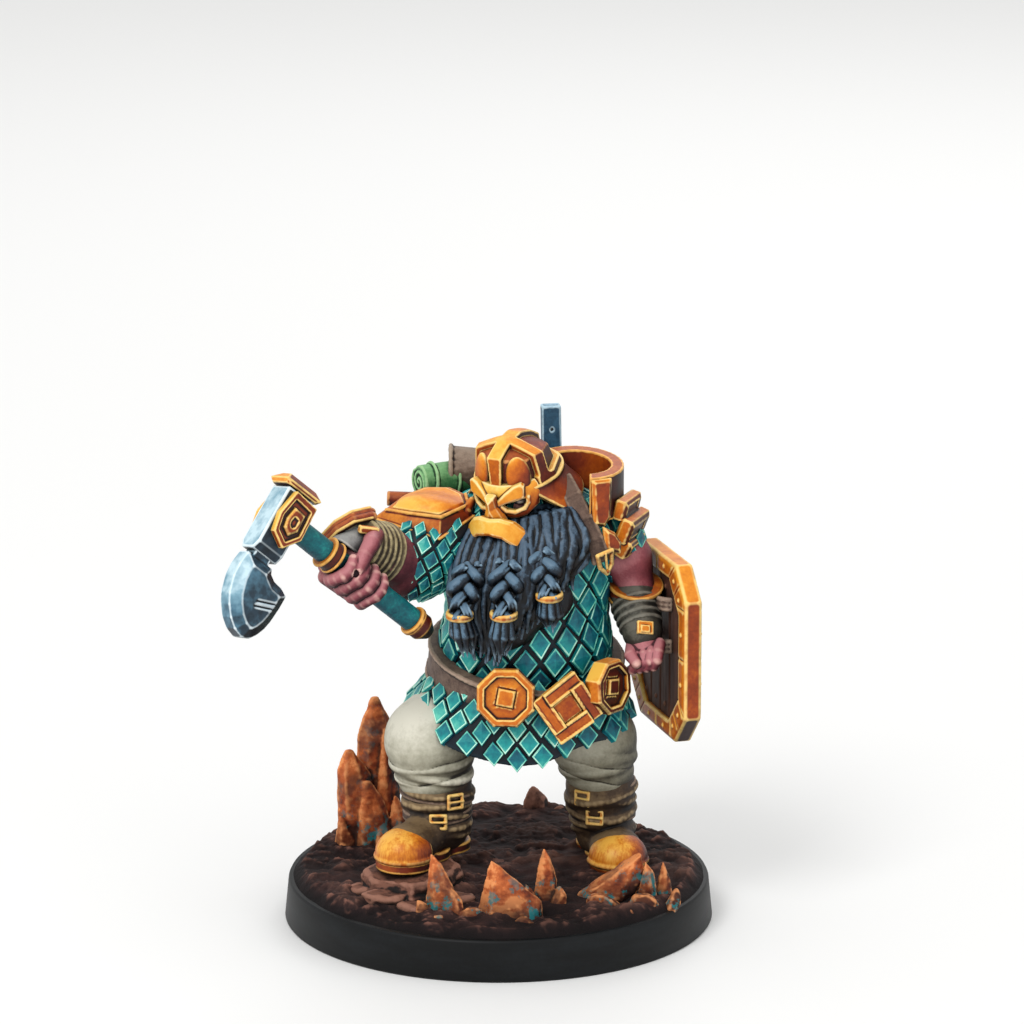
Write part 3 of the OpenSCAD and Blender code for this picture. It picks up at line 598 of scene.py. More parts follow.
def piece(thing, material, slot, *nodes):
    """Gives a piece its material; slot is not used. It rides on the one body and stands for the CAD nodes."""
    if not thing.data.materials:
        thing.data.materials.append(material)
    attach(thing, "root")
    if nodes:
        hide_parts(*nodes)
    return thing


def ring_points(radius, count, turn_by=0.0):
    """Corners of a regular outline."""
    angles = (2 * math.pi * (i + 0.5) / count + math.radians(turn_by) for i in range(count))
    reach = radius / math.cos(math.pi / count)
    return [(reach * math.cos(a), reach * math.sin(a)) for a in angles]


# ---------------------------------------------------------------- scales of the coat

def scale_material():
    """Teal scales in painted light from above, with painted shade at the upper corner and a painted highlight at the
    lower one.
    """
    n = Nodes("scale_paint")
    value = n.math("ADD", n.math("MULTIPLY", n.facing(SKY), 0.28), n.attribute("glow"))
    value = n.math("ADD", value, n.math("MULTIPLY", n.math("SUBTRACT", n.noise(0.5, 4), 0.5), 0.5))
    base = n.ramp(value, ((0.0, "#062536"), (0.28, "#0b4f66"), (0.5, "#147e8b"), (0.72, "#2ba7a5"),
                          (0.95, "#79d6c2")))
    n.bump(n.noise(0.3), 0.01)
    return n.finish(base, 0.45)


def scale_edge_material():
    # painted highlight: the pale mint rims of the scales, lighter where they face the painted light
    n = Nodes("scale_edge_paint")
    value = n.math("ADD", n.math("MULTIPLY", n.facing(SKY), 0.45), n.attribute("glow"))
    value = n.math("ADD", value, n.math("MULTIPLY", n.math("SUBTRACT", n.noise(0.8, 3), 0.55), 1.1))
    base = n.ramp(value, ((0.0, "#0c5f72"), (0.32, "#2f9fa2"), (0.6, "#83dcc6"), (0.9, "#d4fbe9")))
    return n.finish(base, 0.45)


SCALE = scale_material()
SCALE_EDGE = scale_edge_material()
SCALE_THICK = 0.3


def scale_coat(name, surface, axis_at, axis, across, rows, count, slot, span=(-180, 180), fill=0.84, drop=0.0,
               lift=None):
    """Diamond scales in staggered rows on a surface. Rows lie along the axis, `count` of them go round it,
    and across is the direction where the angle is zero. span leaves out the angles outside it, and
    lift(angle in radians) moves a row along the axis."""
    tree = BVHTree.FromPolygons([tuple(v.co / MM) for v in surface.data.vertices],
                                [tuple(p.vertices) for p in surface.data.polygons])
    axis, across = Vector(axis).normalized(), Vector(across).normalized()
    across = (across - axis * across.dot(axis)).normalized()
    side = axis.cross(across)
    pitch = abs(rows[1] - rows[0])
    dice = np.random.RandomState(len(rows) * 31 + count)
    bm = bmesh.new()
    glow = bm.verts.layers.float.new("glow")
    for r, along in enumerate(rows):
        for k in range(count):
            angle = 360 * (k + 0.5 * (r % 2)) / count - 180
            if not span[0] <= angle <= span[1]:
                continue
            turned = math.radians(angle)
            out = across * math.cos(turned) + side * math.sin(turned)
            spot = Vector(axis_at) + axis * (along + (lift(turned) if lift else 0))
            hit, normal, _, _ = tree.ray_cast(spot + out * 12, -out)
            if hit is None or (hit - spot).length > 9.5 or normal.dot(out) < 0.25:
                continue
            right = axis.cross(normal).normalized()
            down = normal.cross(right).normalized()
            if down.dot(axis) > 0:
                down = -down
            normal = (normal - down * 0.16).normalized()
            wide = 2 * math.pi * (hit - spot).dot(out) / count * fill / 2 * dice.uniform(0.95, 1.03)
            tall = pitch * fill * dice.uniform(0.95, 1.03)
            shade = dice.uniform(-0.13, 0.13) + drop
            spin = dice.uniform(-0.06, 0.06)
            right, down = (right + down * spin).normalized(), (down - right * spin).normalized()
            # painted highlight and shade: each scale's glow is highest at its lower corner and lowest at its upper one
            corners = ((right * wide, 0.45), (down * tall, 0.62), (-right * wide, 0.42), (-down * tall, 0.28))
            base, brim, crown, inner = [], [], [], []
            for offset, light in corners:
                for ring, size, height in ((base, 1.0, -0.2), (brim, 1.0, SCALE_THICK * 0.75),
                                           (crown, 0.95, SCALE_THICK), (inner, 0.82, SCALE_THICK * 0.97)):
                    v = bm.verts.new((hit + offset * size + normal * height) * MM)
                    v[glow] = light + shade
                    ring.append(v)
            top = bm.verts.new((hit + normal * (SCALE_THICK * 1.25) - down * (tall * 0.12)) * MM)
            top[glow] = 0.4 + shade
            for i in range(4):
                j = (i + 1) % 4
                for lower, upper in ((base, brim), (brim, crown), (crown, inner)):
                    # the rim facets above the base ring take the painted edge highlight
                    face = bm.faces.new((lower[i], lower[j], upper[j], upper[i]))
                    face.material_index = 0 if lower is base else 1
                bm.faces.new((inner[i], inner[j], top))
            bm.faces.new(base[::-1])
    bmesh.ops.recalc_face_normals(bm, faces=bm.faces)
    data = bpy.data.meshes.new(name)
    bm.to_mesh(data)
    bm.free()
    data.materials.append(SCALE)
    data.materials.append(SCALE_EDGE)
    thing = bpy.data.objects.new(name, data)
    bpy.context.scene.collection.objects.link(thing)
    return piece(thing, SCALE, slot)


# ---------------------------------------------------------------- base and rocks

def base_disc():
    """A lathed plastic base with a small lip at its top."""
    outline = [(0, 0.35), (14.4, 0.35), (14.5, 0), (15.9, 0), (16.0, 0.12), (15.72, 2.9), (15.62, 3.1), (15.3, 3.12),
               (0, 3.12)]
    bm = bmesh.new()
    count = 180
    rings = []
    for r, z in outline:
        if r == 0:
            rings.append([bm.verts.new((0, 0, z * MM))])
        else:
            rings.append([bm.verts.new((r * MM * math.cos(2 * math.pi * i / count),
                                        r * MM * math.sin(2 * math.pi * i / count), z * MM)) for i in range(count)])
    for low, high in zip(rings, rings[1:]):
        for i in range(count):
            j = (i + 1) % count
            ring = [low[i % len(low)], low[j % len(low)], high[j % len(high)], high[i % len(high)]]
            bm.faces.new([v for k, v in enumerate(ring) if v not in ring[:k]])
    bmesh.ops.recalc_face_normals(bm, faces=bm.faces)
    data = bpy.data.meshes.new("base_rim")
    bm.to_mesh(data)
    bm.free()
    for p in data.polygons:
        p.use_smooth = abs(p.normal.z) < 0.6
    n = Nodes("base_paint")
    value = n.math("ADD", n.noise(2.5, 4, (0.4, 0.4, 2)), n.math("MULTIPLY", n.noise(0.3, 2), 0.25))
    base = n.ramp(value, ((0.35, "#0c0e0f"), (0.6, "#131618"), (0.85, "#1f2326")))
    n.bump(n.noise(0.5, 3, (0.3, 0.3, 1.5)), 0.01)
    thing = bpy.data.objects.new("base_rim", data)
    bpy.context.scene.collection.objects.link(thing)
    piece(thing, n.finish(base, 0.5, 0.22), "base_black", "base_disc")


def earth_height(x, y):
    """How high the textured earth stands over the base, in mm."""
    p = np.stack([x, y, np.zeros_like(x)], 1)
    lumps = rough_noise(p, 4.2, 3, 4)
    clods = rough_noise(p, 1.7, 9, 5)
    streak = rough_noise(p * np.array((0.5, 1.4, 1)), 1.6, 5, 3)
    r = np.hypot(x, y)
    edge = np.clip((BASE_TOP_R - 0.25 - r) / 0.9, 0, 1)
    mound = 0.35 * np.clip(1 - r / 14, 0, 1)
    return (0.1 + 1.3 * np.maximum(lumps - 0.2, 0) + 1.6 * np.maximum(clods - 0.45, 0) + 0.35 * streak + mound) * edge - 0.05


def ground():
    """Rough earth as a fine height field, lumpy with clods."""
    rings, spokes = 150, 520
    r = (BASE_TOP_R - 0.12) * np.linspace(0, 1, rings + 1)[1:] ** 0.72
    a = np.linspace(0, 2 * np.pi, spokes, endpoint=False)
    R, A = np.meshgrid(r, a, indexing="ij")
    x, y = (R * np.cos(A)).ravel(), (R * np.sin(A)).ravel()
    x, y = np.append(x, 0), np.append(y, 0)
    z = BASE_H + np.maximum(earth_height(x, y), 0.0)
    faces = []
    for i in range(rings - 1):
        for j in range(spokes):
            k = (j + 1) % spokes
            faces.append((i * spokes + j, (i + 1) * spokes + j, (i + 1) * spokes + k, i * spokes + k))
    centre = rings * spokes
    faces += [(centre, j, (j + 1) % spokes) for j in range(spokes)]
    data = bpy.data.meshes.new("earth")
    data.from_pydata((np.stack([x, y, z], 1) * MM).tolist(), [], faces)
    quads = np.array([f for f in faces if len(f) == 4])
    edges = np.concatenate([quads[:, [0, 1]], quads[:, [1, 2]]])
    points = np.stack([x, y, z], 1)
    soft = points
    for _ in range(8):
        soft = spread(soft, edges[:, 0], edges[:, 1])
    rise = z - soft[:, 2]
    # relief and hollow here carry the painted highlight and the painted shade of the earth
    attribute(data, "relief", rise / 0.045)
    attribute(data, "hollow", -rise / 0.045)
    attribute(data, "height", (z - BASE_H) / 1.3)
    data.polygons.foreach_set("use_smooth", [True] * len(data.polygons))
    n = Nodes("earth_paint")
    # painted light: the earth is lighter where it stands higher
    value = n.math("ADD", n.math("MULTIPLY", n.attribute("height"), 0.55), n.math("MULTIPLY", n.noise(1.6, 6), 0.5))
    base = n.ramp(value, ((0.25, "#171112"), (0.45, "#2d2122"), (0.62, "#4a3532"), (0.88, "#7a5b50")))
    # painted highlight: the raised crumbs are lighter
    raised_highlight = n.math("MULTIPLY", n.spread(n.attribute("relief"), 0.3, 2.6), n.spread(n.noise(2.4, 3), 0.35, 0.6, 0.25, 1.0))
    base = n.mix(n.math("MULTIPLY", raised_highlight, 0.75), base, colour("#a5796a"))
    # painted shade: the hollows are darker
    base = n.mix(n.math("MULTIPLY", n.spread(n.attribute("hollow"), 0.2, 3.0), 0.75), base, colour("#120d0e"))
    base = n.mix(n.spread(n.noise(5.5, 3), 0.42, 0.62, 0.0, 0.6), base, colour("#1c1516"))
    n.bump(n.noise(0.22, 4), 0.05)
    thing = bpy.data.objects.new("earth", data)
    bpy.context.scene.collection.objects.link(thing)
    piece(thing, n.finish(base, 0.85, 0.2), "earth_paint", "ground")


def rock_clay(name, cell, solids, seed, material=None, strata=0.14):
    """Rocks from lists of corner points: faceted, layered and chipped."""
    low = np.min([np.min(s, 0) for s in solids], 0)
    high = np.max([np.max(s, 0) for s in solids], 0)
    clay = Clay(low - 0.3, high + 0.3, cell)
    for s in solids:
        clay.join(crystal(s, 0.06), 0.05)

    def dent(p, n):
        layers = rough_noise(p * np.array((0.35, 0.35, 1.5)), 0.9, seed, 3) - 0.5
        chips = rough_noise(p, 0.8, seed + 4, 3) - 0.5
        return (layers * strata + chips * 0.16) * np.clip((p[:, 2] - BASE_H) / 0.8, 0.2, 1)
    return clay.mesh(name, dent, 1)


def spike(foot, tip, wide, deep, yaw, seed, low=BASE_H - 0.2, tip_size=0.1, bulge=0.62, lean=0.25):
    """Corner points of a blade of rock, widest below its middle and curved towards its tip."""
    dice = np.random.RandomState(seed)
    foot, tip = np.array((foot[0], foot[1], low)), np.array(tip, float)
    co, si = math.cos(math.radians(yaw)), math.sin(math.radians(yaw))
    points = []
    for t, size in ((0, 1.0), (0.28, 1.0), (bulge, 0.74), (0.86, 0.36), (1, tip_size)):
        bow = lean * wide * math.sin(math.pi * t)
        for k in range(6):
            a = math.radians(60 * k) + dice.uniform(-0.3, 0.3)
            s = size * dice.uniform(0.82, 1.12)
            c = foot + (tip - foot) * t
            x, y = wide * s * math.cos(a) + bow, deep * s * math.sin(a)
            points.append((c[0] + x * co - y * si, c[1] + x * si + y * co, c[2] + dice.uniform(-0.25, 0.25) * (0 < t < 1)))
    return points


def rock_paint_with_moss():
    """Rust-orange rock, brown at its foot, with teal corrosion patches, painted light from above, painted shade in its
    hollows and painted highlights on its edges.
    """
    n = Nodes("rock_teal_paint")
    # painted light: lighter where the rock faces the painted light
    value = n.math("ADD", n.math("MULTIPLY", n.facing(SKY), 0.5), n.math("MULTIPLY", n.noise(1.3, 6, rough=0.65), 1.1))
    base = n.ramp(value, ((0.25, "#1d1112"), (0.5, "#54291f"), (0.72, "#a0522f"), (0.92, "#d27c49"), (1.0, "#eea26a")))
    base = n.mix(n.math("MULTIPLY", n.spread(n.noise(2.3, 4), 0.5, 0.62), 0.55), base, colour("#5f4a42"))
    # painted shade: darker in the hollows
    base = n.mix(n.math("MULTIPLY", n.spread(n.attribute("hollow"), 0.05, 0.7), 0.85), base, colour("#160b0b"))
    where = n.add("ShaderNodeTexCoord").outputs["Object"]
    split = n.add("ShaderNodeSeparateXYZ")
    n.link(where, split.inputs[0])
    low = n.spread(split.outputs["Z"], (BASE_H + 0.2) * MM, (BASE_H + 3.4) * MM, 0.85, 0.0)
    base = n.mix(low, base, colour("#2c1c1a"))
    patch = n.spread(n.noise(1.5, 5, rough=0.7), 0.54, 0.6)
    patch = n.math("MULTIPLY", patch, n.spread(split.outputs["Z"], (BASE_H + 4.5) * MM, (BASE_H + 1.0) * MM, 0.25, 1.0))
    base = n.mix(n.math("MULTIPLY", patch, 0.9), base, colour("#0f7f84"))
    # painted highlight: pale lines on the raised edges
    line = n.math("MULTIPLY", n.spread(n.attribute("relief"), 0.15, 0.6), n.spread(n.noise(0.7, 2), 0.35, 0.6, 0.1, 1.0))
    base = n.mix(n.math("MULTIPLY", line, 0.75), base, colour("#eba873"))
    n.bump(n.noise(0.3, 4), 0.03)
    return n.finish(base, 0.7, 0.25)


def rocks():
    stone = rock_paint_with_moss()
    slate = painted("slate_paint", ((0.2, "#120d0e"), (0.48, "#33231f"), (0.74, "#5a3d34"), (0.97, "#8a6252")),
                    "#a87e6c", "#0b0707", grain=0.4, stroke=1.0, rough=0.75)
    spires = rock_clay("rear_spires", 0.1, [
        spike((-9.3, 6.6), (-9.4, 6.9, 14.8), 1.95, 1.3, 15, 1, tip_size=0.16, bulge=0.78, lean=0.15),
        spike((-8.9, 5.8), (-8.6, 6.3, 12.4), 1.2, 0.9, 50, 31, tip_size=0.14, bulge=0.7),
        spike((-10.3, 5.3), (-11.3, 5.3, 11.1), 1.9, 1.1, 10, 2, tip_size=0.2, bulge=0.78, lean=0.1),
        spike((-9.7, 4.6), (-10.0, 4.8, 8.8), 1.45, 0.8, 12, 32, tip_size=0.3, bulge=0.7), spike((-7.6, 5.2), (-7.9, 5.6, 7.4), 1.2, 0.9, 30, 3),
        spike((-11.6, 4.6), (-12.0, 4.4, 6.2), 0.95, 0.7, 10, 4), spike((-8.6, 4.4), (-8.8, 4.6, 5.6), 1.4, 0.9, 50, 5)], 2)
    piece(spires, stone, "rock_paint", "rock_spires_rear")
    front_right = rock_clay("front_right_shards", 0.075, [
        spike((-4.3, -10.7), (-4.9, -10.3, 8.0), 1.25, 0.6, -12, 6, bulge=0.5, lean=0.5),
        spike((-3.5, -11.4), (-3.7, -10.7, 5.8), 1.1, 0.5, -25, 7, lean=0.4),
        spike((-5.3, -11.0), (-5.9, -10.8, 4.6), 0.8, 0.5, 20, 8),
        spike((-2.7, -11.9), (-2.2, -11.7, 4.3), 1.6, 0.7, 10, 9, lean=0.6),
        spike((-4.0, -12.4), (-4.6, -12.5, 4.0), 1.1, 0.6, 35, 33)], 5)
    piece(front_right, stone, "rock_paint", "rock_shards_front_right")
    wedge = [(-1.8, -11.4, 2.9), (3.3, -11.3, 2.9), (2.6, -12.7, 2.9), (-0.6, -12.7, 2.9), (0.6, -10.2, 2.9),
             (3.2, -11.2, 4.7), (2.6, -12.0, 4.4), (1.3, -11.4, 5.9), (-0.4, -11.5, 7.2), (-0.6, -11.1, 7.9), (0.2, -10.9, 6.9),
             (-1.3, -11.2, 5.0), (1.4, -12.3, 4.7), (-0.9, -11.9, 4.4)]
    centre = rock_clay("front_centre_shards", 0.075, [
        wedge, spike((0.1, -11.0), (-0.9, -10.9, 6.4), 0.9, 0.5, -20, 34, lean=0.5),
        spike((3.2, -8.5), (3.35, -8.2, 7.7), 1.05, 0.6, 10, 11, bulge=0.55, lean=0.35),
        spike((4.0, -8.9), (4.5, -8.7, 5.0), 0.9, 0.5, -30, 35),
        spike((2.3, -9.6), (2.0, -9.4, 5.4), 1.0, 0.6, 40, 12), spike((1.6, -12.8), (1.9, -12.9, 4.0), 1.3, 0.6, 10, 36)], 7)
    piece(centre, stone, "rock_paint", "rock_shards_front_centre")
    lean = [(5.3, -8.0, 2.9), (8.0, -9.0, 2.9), (9.6, -7.6, 2.9), (6.6, -6.6, 2.9), (8.4, -8.1, 5.5), (10.5, -7.4, 6.9),
            (10.4, -6.6, 6.9), (9.2, -6.3, 6.1), (5.9, -7.5, 4.1), (10.9, -7.3, 5.4), (9.0, -6.0, 3.0), (7.0, -8.3, 4.6)]
    slabs = rock_clay("front_left_slabs", 0.075, [
        lean, spike((10.9, -7.7), (10.8, -7.6, 6.5), 0.75, 0.5, 0, 16, bulge=0.7), spike((12.2, -6.8), (12.1, -6.6, 6.2), 0.8, 0.6, 40, 17),
        spike((7.6, -9.8), (7.2, -9.7, 4.6), 1.5, 0.8, 10, 18, tip_size=0.5),
        spike((10.2, -9.4), (10.4, -9.3, 4.5), 1.5, 0.8, 20, 19, tip_size=0.45),
        spike((12.6, -8.4), (13.0, -8.2, 4.6), 0.8, 0.6, 60, 20), spike((9.0, -10.9), (9.2, -10.8, 4.0), 1.1, 0.7, 0, 37, tip_size=0.5)], 9)
    piece(slabs, stone, "rock_paint", "rock_slabs_front_left")
    rear = rock_clay("rear_spike", 0.1, [spike((2.7, 13.2), (2.6, 13.4, 5.7), 1.3, 0.8, 10, 21),
                                         spike((4.2, 12.9), (4.6, 13.0, 4.2), 1.2, 0.7, 50, 22)], 11)
    piece(rear, slate, "dark_rock_paint", "rock_spike_rear")
    top = BASE_H + LEDGE_H
    ledge = [(-10.4, -4.6, 2.9), (-9.8, -7.6, 2.9), (-6.4, -9.9, 2.9), (-3.2, -8.4, 2.9), (-2.0, -5.0, 2.9),
             (-4.0, -1.4, 2.9), (-8.2, -1.6, 2.9), (-9.9, -5.0, top - 0.5), (-9.2, -7.0, top - 0.4), (-6.3, -8.9, top - 0.3),
             (-3.9, -7.6, top), (-2.9, -5.0, top), (-4.4, -2.2, top), (-8.0, -2.4, top)]
    steps = []
    for k, (x, y, w, h) in enumerate(((-8.2, -8.6, 2.2, 1.5), (-5.4, -9.8, 2.4, 1.1), (-3.2, -9.0, 1.9, 1.5), (-9.9, -6.2, 1.5, 1.2))):
        steps.append([(x + w * math.cos(a) * s, y + 0.6 * w * math.sin(a) * s, 2.9 + h * (s < 1))
                      for a in np.linspace(0.3 * k, 0.3 * k + 5.2, 6) for s in (1.0, 0.85)])
    shelf = rock_clay("ledge_rock", 0.1, [ledge] + steps, 13, strata=0.6)
    piece(shelf, slate, "dark_rock_paint", "rock_ledge")


# ---------------------------------------------------------------- legs

RIGHT_FOOT = (turn(0, 0, -34), np.array((-7.3, -6.1, BASE_H + LEDGE_H)))
LEFT_FOOT = (turn(0, 0, 14), np.array((9.1, -1.6, BASE_H + 0.45)))


def foot(side, at, ankle, shin):
    """A boot: its leather, its welted sole and its toe cap."""
    leather = Clay(np.minimum(at[1], ankle) - 4.6, np.maximum(at[1], shin) + np.array((5, 5, 3.2)), MEDIUM)
    leather.join(posed(egg((0, 1.4, 1.5), (1.95, 2.3, 1.6)), at), 0.4)
    leather.join(posed(limb((0, 3.4, 1.8), (0, 5.7, 2.3), 1.75, 1.85), at), 0.6)
    leather.cut(posed(brick((0, 3, -3), (5, 9, 3.6)), at))
    leather.join(limb(ankle, shin, 2.15, 2.6), 0.5)
    dice = np.random.RandomState(len(side))
    for k in range(6):
        t = 0.05 + 0.17 * k
        ring = ankle + (shin - ankle) * t
        r, tilt, phase = 2.15 + 0.45 * t, dice.uniform(0.2, 0.5), dice.uniform(0, 6)
        points = [ring + np.array((r * math.cos(a), r * math.sin(a), tilt * math.sin(a + phase))) for a in
                  np.linspace(0, 2 * math.pi, 19)]
        sizes = [0.16 + 0.16 * math.sin(a * 1.5 + phase) ** 2 for a in np.linspace(0, 2 * math.pi, 19)]
        leather.rope(points, sizes, 0.3)

    def creases(p, n):
        return 0.12 * (rough_noise(p * np.array((1, 1, 1.8)), 1.2, 5, 3) - 0.5)
    piece(leather.mesh(f"{side}_boot_leather", creases), BOOTS, "boot_paint", f"{side}_boot")
    sole = Clay(at[1] - np.array((5, 4, 0.3)), at[1] + np.array((6, 9, 1.4)), 0.07)
    for c, r in (((0, 0.7), 2.15), ((0, 3.4), 1.8), ((0, 6.0), 1.85)):
        sole.join(posed(drum((c[0], c[1], 0), (c[0], c[1], 0.8), r, 0.1), at), 0.5)
    piece(sole.mesh(f"{side}_sole"), GOLD_DEEP, "gold_paint", "soles")
    cap = Clay(at[1] - np.array((4, 4, 0)), at[1] + np.array((4.5, 5, 3.4)), FINE)
    cap.join(posed(egg((0, 0.75, 1.1), (2.2, 2.3, 1.85)), at), 0.1)
    cap.join(posed(egg((0, 0.8, 0.9), (2.34, 2.42, 0.75)), at), 0.06)
    cap.cut(posed(brick((0, 0, -2.1), (5, 6, 2.75)), at))
    cap.cut(posed(brick((0, 5.3, 1), (5, 4, 6), turn(-14, 0, 0)), at))
    cap.cut(posed(egg((0, 1.1, 1.1), (1.75, 2.0, 1.5)), at))
    seam = [at[0] @ np.array((2.36 * math.cos(a), 0.75 + 2.44 * math.sin(a), 1.32)) + at[1] for a in np.linspace(math.pi - 0.1, 2 * math.pi + 0.1, 30)]
    for p, q in zip(seam, seam[1:]):
        cap.cut(limb(p, q, 0.09), 0.06)
    piece(cap.mesh(f"{side}_toe_cap"), TOE_GOLD, "gold_paint", "toe_caps")


def boot_straps():
    """Straps with frame buckles on the shins."""
    straps = Clay((-8, -5.5, 4.5), (11, 5.5, 11.6), 0.08)
    frames = Clay((-8, -5.5, 4.5), (11, 5.5, 11.6), 0.06)
    for centre, r, z, tilt, facing in (((-4.55, -1.7), 2.62, 10.0, -0.25, -62), ((-4.55, -1.6), 2.45, 8.5, 0.15, -88),
                                       ((7.7, 1.9), 2.45, 9.3, 0.3, -122), ((7.8, 2.2), 2.35, 7.4, -0.2, -104)):
        points = [np.array((centre[0] + r * math.cos(a), centre[1] + r * math.sin(a), z + tilt * math.cos(a - 0.5)))
                  for a in np.linspace(0, 2 * math.pi, 25)]
        for lift in (-0.24, 0, 0.24):
            straps.rope([p + (0, 0, lift) for p in points], 0.16, 0.1)
        a = math.radians(facing)
        where = (turn(0, 0, facing + 90), np.array((centre[0] + (r + 0.3) * math.cos(a), centre[1] + (r + 0.3) * math.sin(a),
                                                    z + tilt * math.cos(a - 0.5))))
        corners = [(-0.55, 0, -0.5), (0.55, 0, -0.5), (0.55, 0, 0.5), (-0.55, 0, 0.5), (-0.55, 0, -0.5)]
        frames.rope([where[0] @ np.array(c) + where[1] for c in corners], 0.14, 0.04)
        frames.rope([where[0] @ np.array(c) + where[1] for c in ((-0.55, -0.08, 0), (0.6, -0.12, 0))], 0.1, 0.04)
    piece(straps.mesh("boot_straps"), STRAP, "boot_paint")
    piece(frames.mesh("boot_buckle_frames"), GOLD, "gold_paint", "boot_buckles")


def trouser(side, hip, knee, hem, radii, seed):
    """A baggy cloth leg, smooth over the knee and gathered in folds over the boot."""
    hip, knee, hem = (np.array(p, float) for p in (hip, knee, hem))
    clay = Clay(np.minimum(hip, hem) - 4.2, np.maximum(hip, hem) + 4.2, MEDIUM)
    clay.join(limb(hip, knee, radii[0], radii[1]), 0.5)
    clay.join(limb(knee, hem, radii[1], radii[2]), 0.8)
    clay.cut(brick(hem - (0, 0, 6), (6, 6, 4.2)), 0.4)
    dice = np.random.RandomState(seed)
    for k in range(7):
        t = 0.25 + 0.75 * k / 6
        centre = knee + (hem - knee) * t
        r = radii[1] + (radii[2] - radii[1]) * t - 0.08
        start, sweep = dice.uniform(0, 2 * math.pi), dice.uniform(3.0, 5.2)
        tilt, phase = dice.uniform(0.2, 0.6), dice.uniform(0, 6)
        points = [centre + np.array((r * math.cos(a), r * math.sin(a), tilt * math.sin(a + phase)))
                  for a in np.linspace(start, start + sweep, 18)]
        sizes = [0.06 + 0.24 * math.sin(math.pi * i / 17) for i in range(18)]
        clay.rope(points, sizes, 0.3)

    def creases(p, n):
        depth = np.clip((knee[2] + 0.4 - p[:, 2]) / 2.4, 0, 1)
        level = p[:, 2] + 0.6 * np.sin(np.arctan2(p[:, 1] - knee[1], p[:, 0] - knee[0]) + seed)
        fold = np.abs(np.sin(level * 2.3 + 1.6 * rough_noise(p, 3.0, seed, 2)))
        return 0.14 * depth * (fold ** 0.5 - 0.6) + 0.1 * (rough_noise(p, 2.6, seed + 3, 2) - 0.5)
    piece(clay.mesh(f"{side}_trouser_cloth", creases), TROUSERS, "trouser_paint", f"{side}_trouser_leg")


def legs():
    foot("right", RIGHT_FOOT, np.array((-4.4, -1.6, 7.2)), np.array((-4.6, -1.8, 10.6)))
    foot("left", LEFT_FOOT, np.array((7.9, 2.6, 5.6)), np.array((7.6, 1.7, 9.4)))
    boot_straps()
    trouser("right", (-2.2, 0.4, 16.8), (-5.1, -2.0, 14.1), (-4.8, -1.9, 11.7), (2.9, 3.15, 2.75), 4)
    trouser("left", (5.2, 1.2, 16.4), (7.1, 1.2, 13.1), (7.5, 1.5, 10.8), (2.9, 3.05, 2.6), 8)


# ---------------------------------------------------------------- coat and belt

def torso_distance(X, Y, Z, grow=0.0):
    best = None
    for at, radii in TORSO_EGGS:
        d = egg(at, radii).distance(X, Y, Z)
        best = d if best is None else blend_min(best, d, 2.5)
    return best - grow


def hem_height(a):
    """The CAD skirt's hem, by angle in radians."""
    return 14.7 + np.cos(2 * a) - 0.2 * np.cos(a) + 0.25 * np.sin(5 * a)


SKIRT_TOP = 19.0


def skirt_distance(X, Y, Z):
    """A thin flared shell from the waist to the hem."""
    a = np.arctan2((Y - 0.1) / 6.6, (X - 1.2) / 8.5)
    t = np.clip((SKIRT_TOP - Z) / (SKIRT_TOP - 15.6), -0.2, 1.25)
    rx, ry, cx = 6.55 + 1.95 * t, 5.8 + 0.75 * t, 1.9 - 0.7 * t
    flute = 0.14 * np.sin(a * 9 + 1) * t
    d = (length((X - cx) / rx, (Y - 0.1) / ry) - 1) * np.minimum(rx, ry) - flute
    wall = np.abs(d + 0.3) - 0.32
    return np.maximum(np.maximum(wall, hem_height(a) - Z), Z - SKIRT_TOP)


def coat():
    body = Clay((-5, -6.6, 17.6), (9, 7, 33.6), COARSE)
    body.join(Shape(lambda X, Y, Z: torso_distance(X, Y, Z, -0.15), (-5, -6.6, 17.6), (9, 7, 33.6)), 0.1)
    body.cut(brick((2, 0, 13), (9, 9, 5)))
    body_mesh = body.mesh("coat_under")
    piece(body_mesh, UNDERCOAT_AND_SHADE, "teal_scale_paint", "coat_body")
    skirt = Clay((-8.4, -7.4, 13), (11, 8, 20.0), 0.12)
    skirt.join(Shape(skirt_distance, (-8.2, -7.2, 13.2), (10.6, 7.6, 19.9)), 0.05)
    skirt_mesh = skirt.mesh("skirt_under")
    piece(skirt_mesh, UNDERCOAT_AND_SHADE, "teal_scale_paint", "coat_skirt")
    rows = [19.6 + 1.36 * i for i in range(10)]
    scale_coat("coat_scales", body_mesh, (2, 0.2, 0), (0, 0, 1), (0, -1, 0), rows, 17, "teal_scale_paint")
    skirt_rows = [0.55 + 1.12 * i for i in range(5)]

    def along_hem(angle):
        return hem_height(math.atan2(-math.cos(angle), math.sin(angle)))
    scale_coat("skirt_scales", skirt_mesh, (1.4, 0.1, 0), (0, 0, 1), (0, -1, 0), skirt_rows, 24, "teal_scale_paint",
               fill=0.86, lift=along_hem)


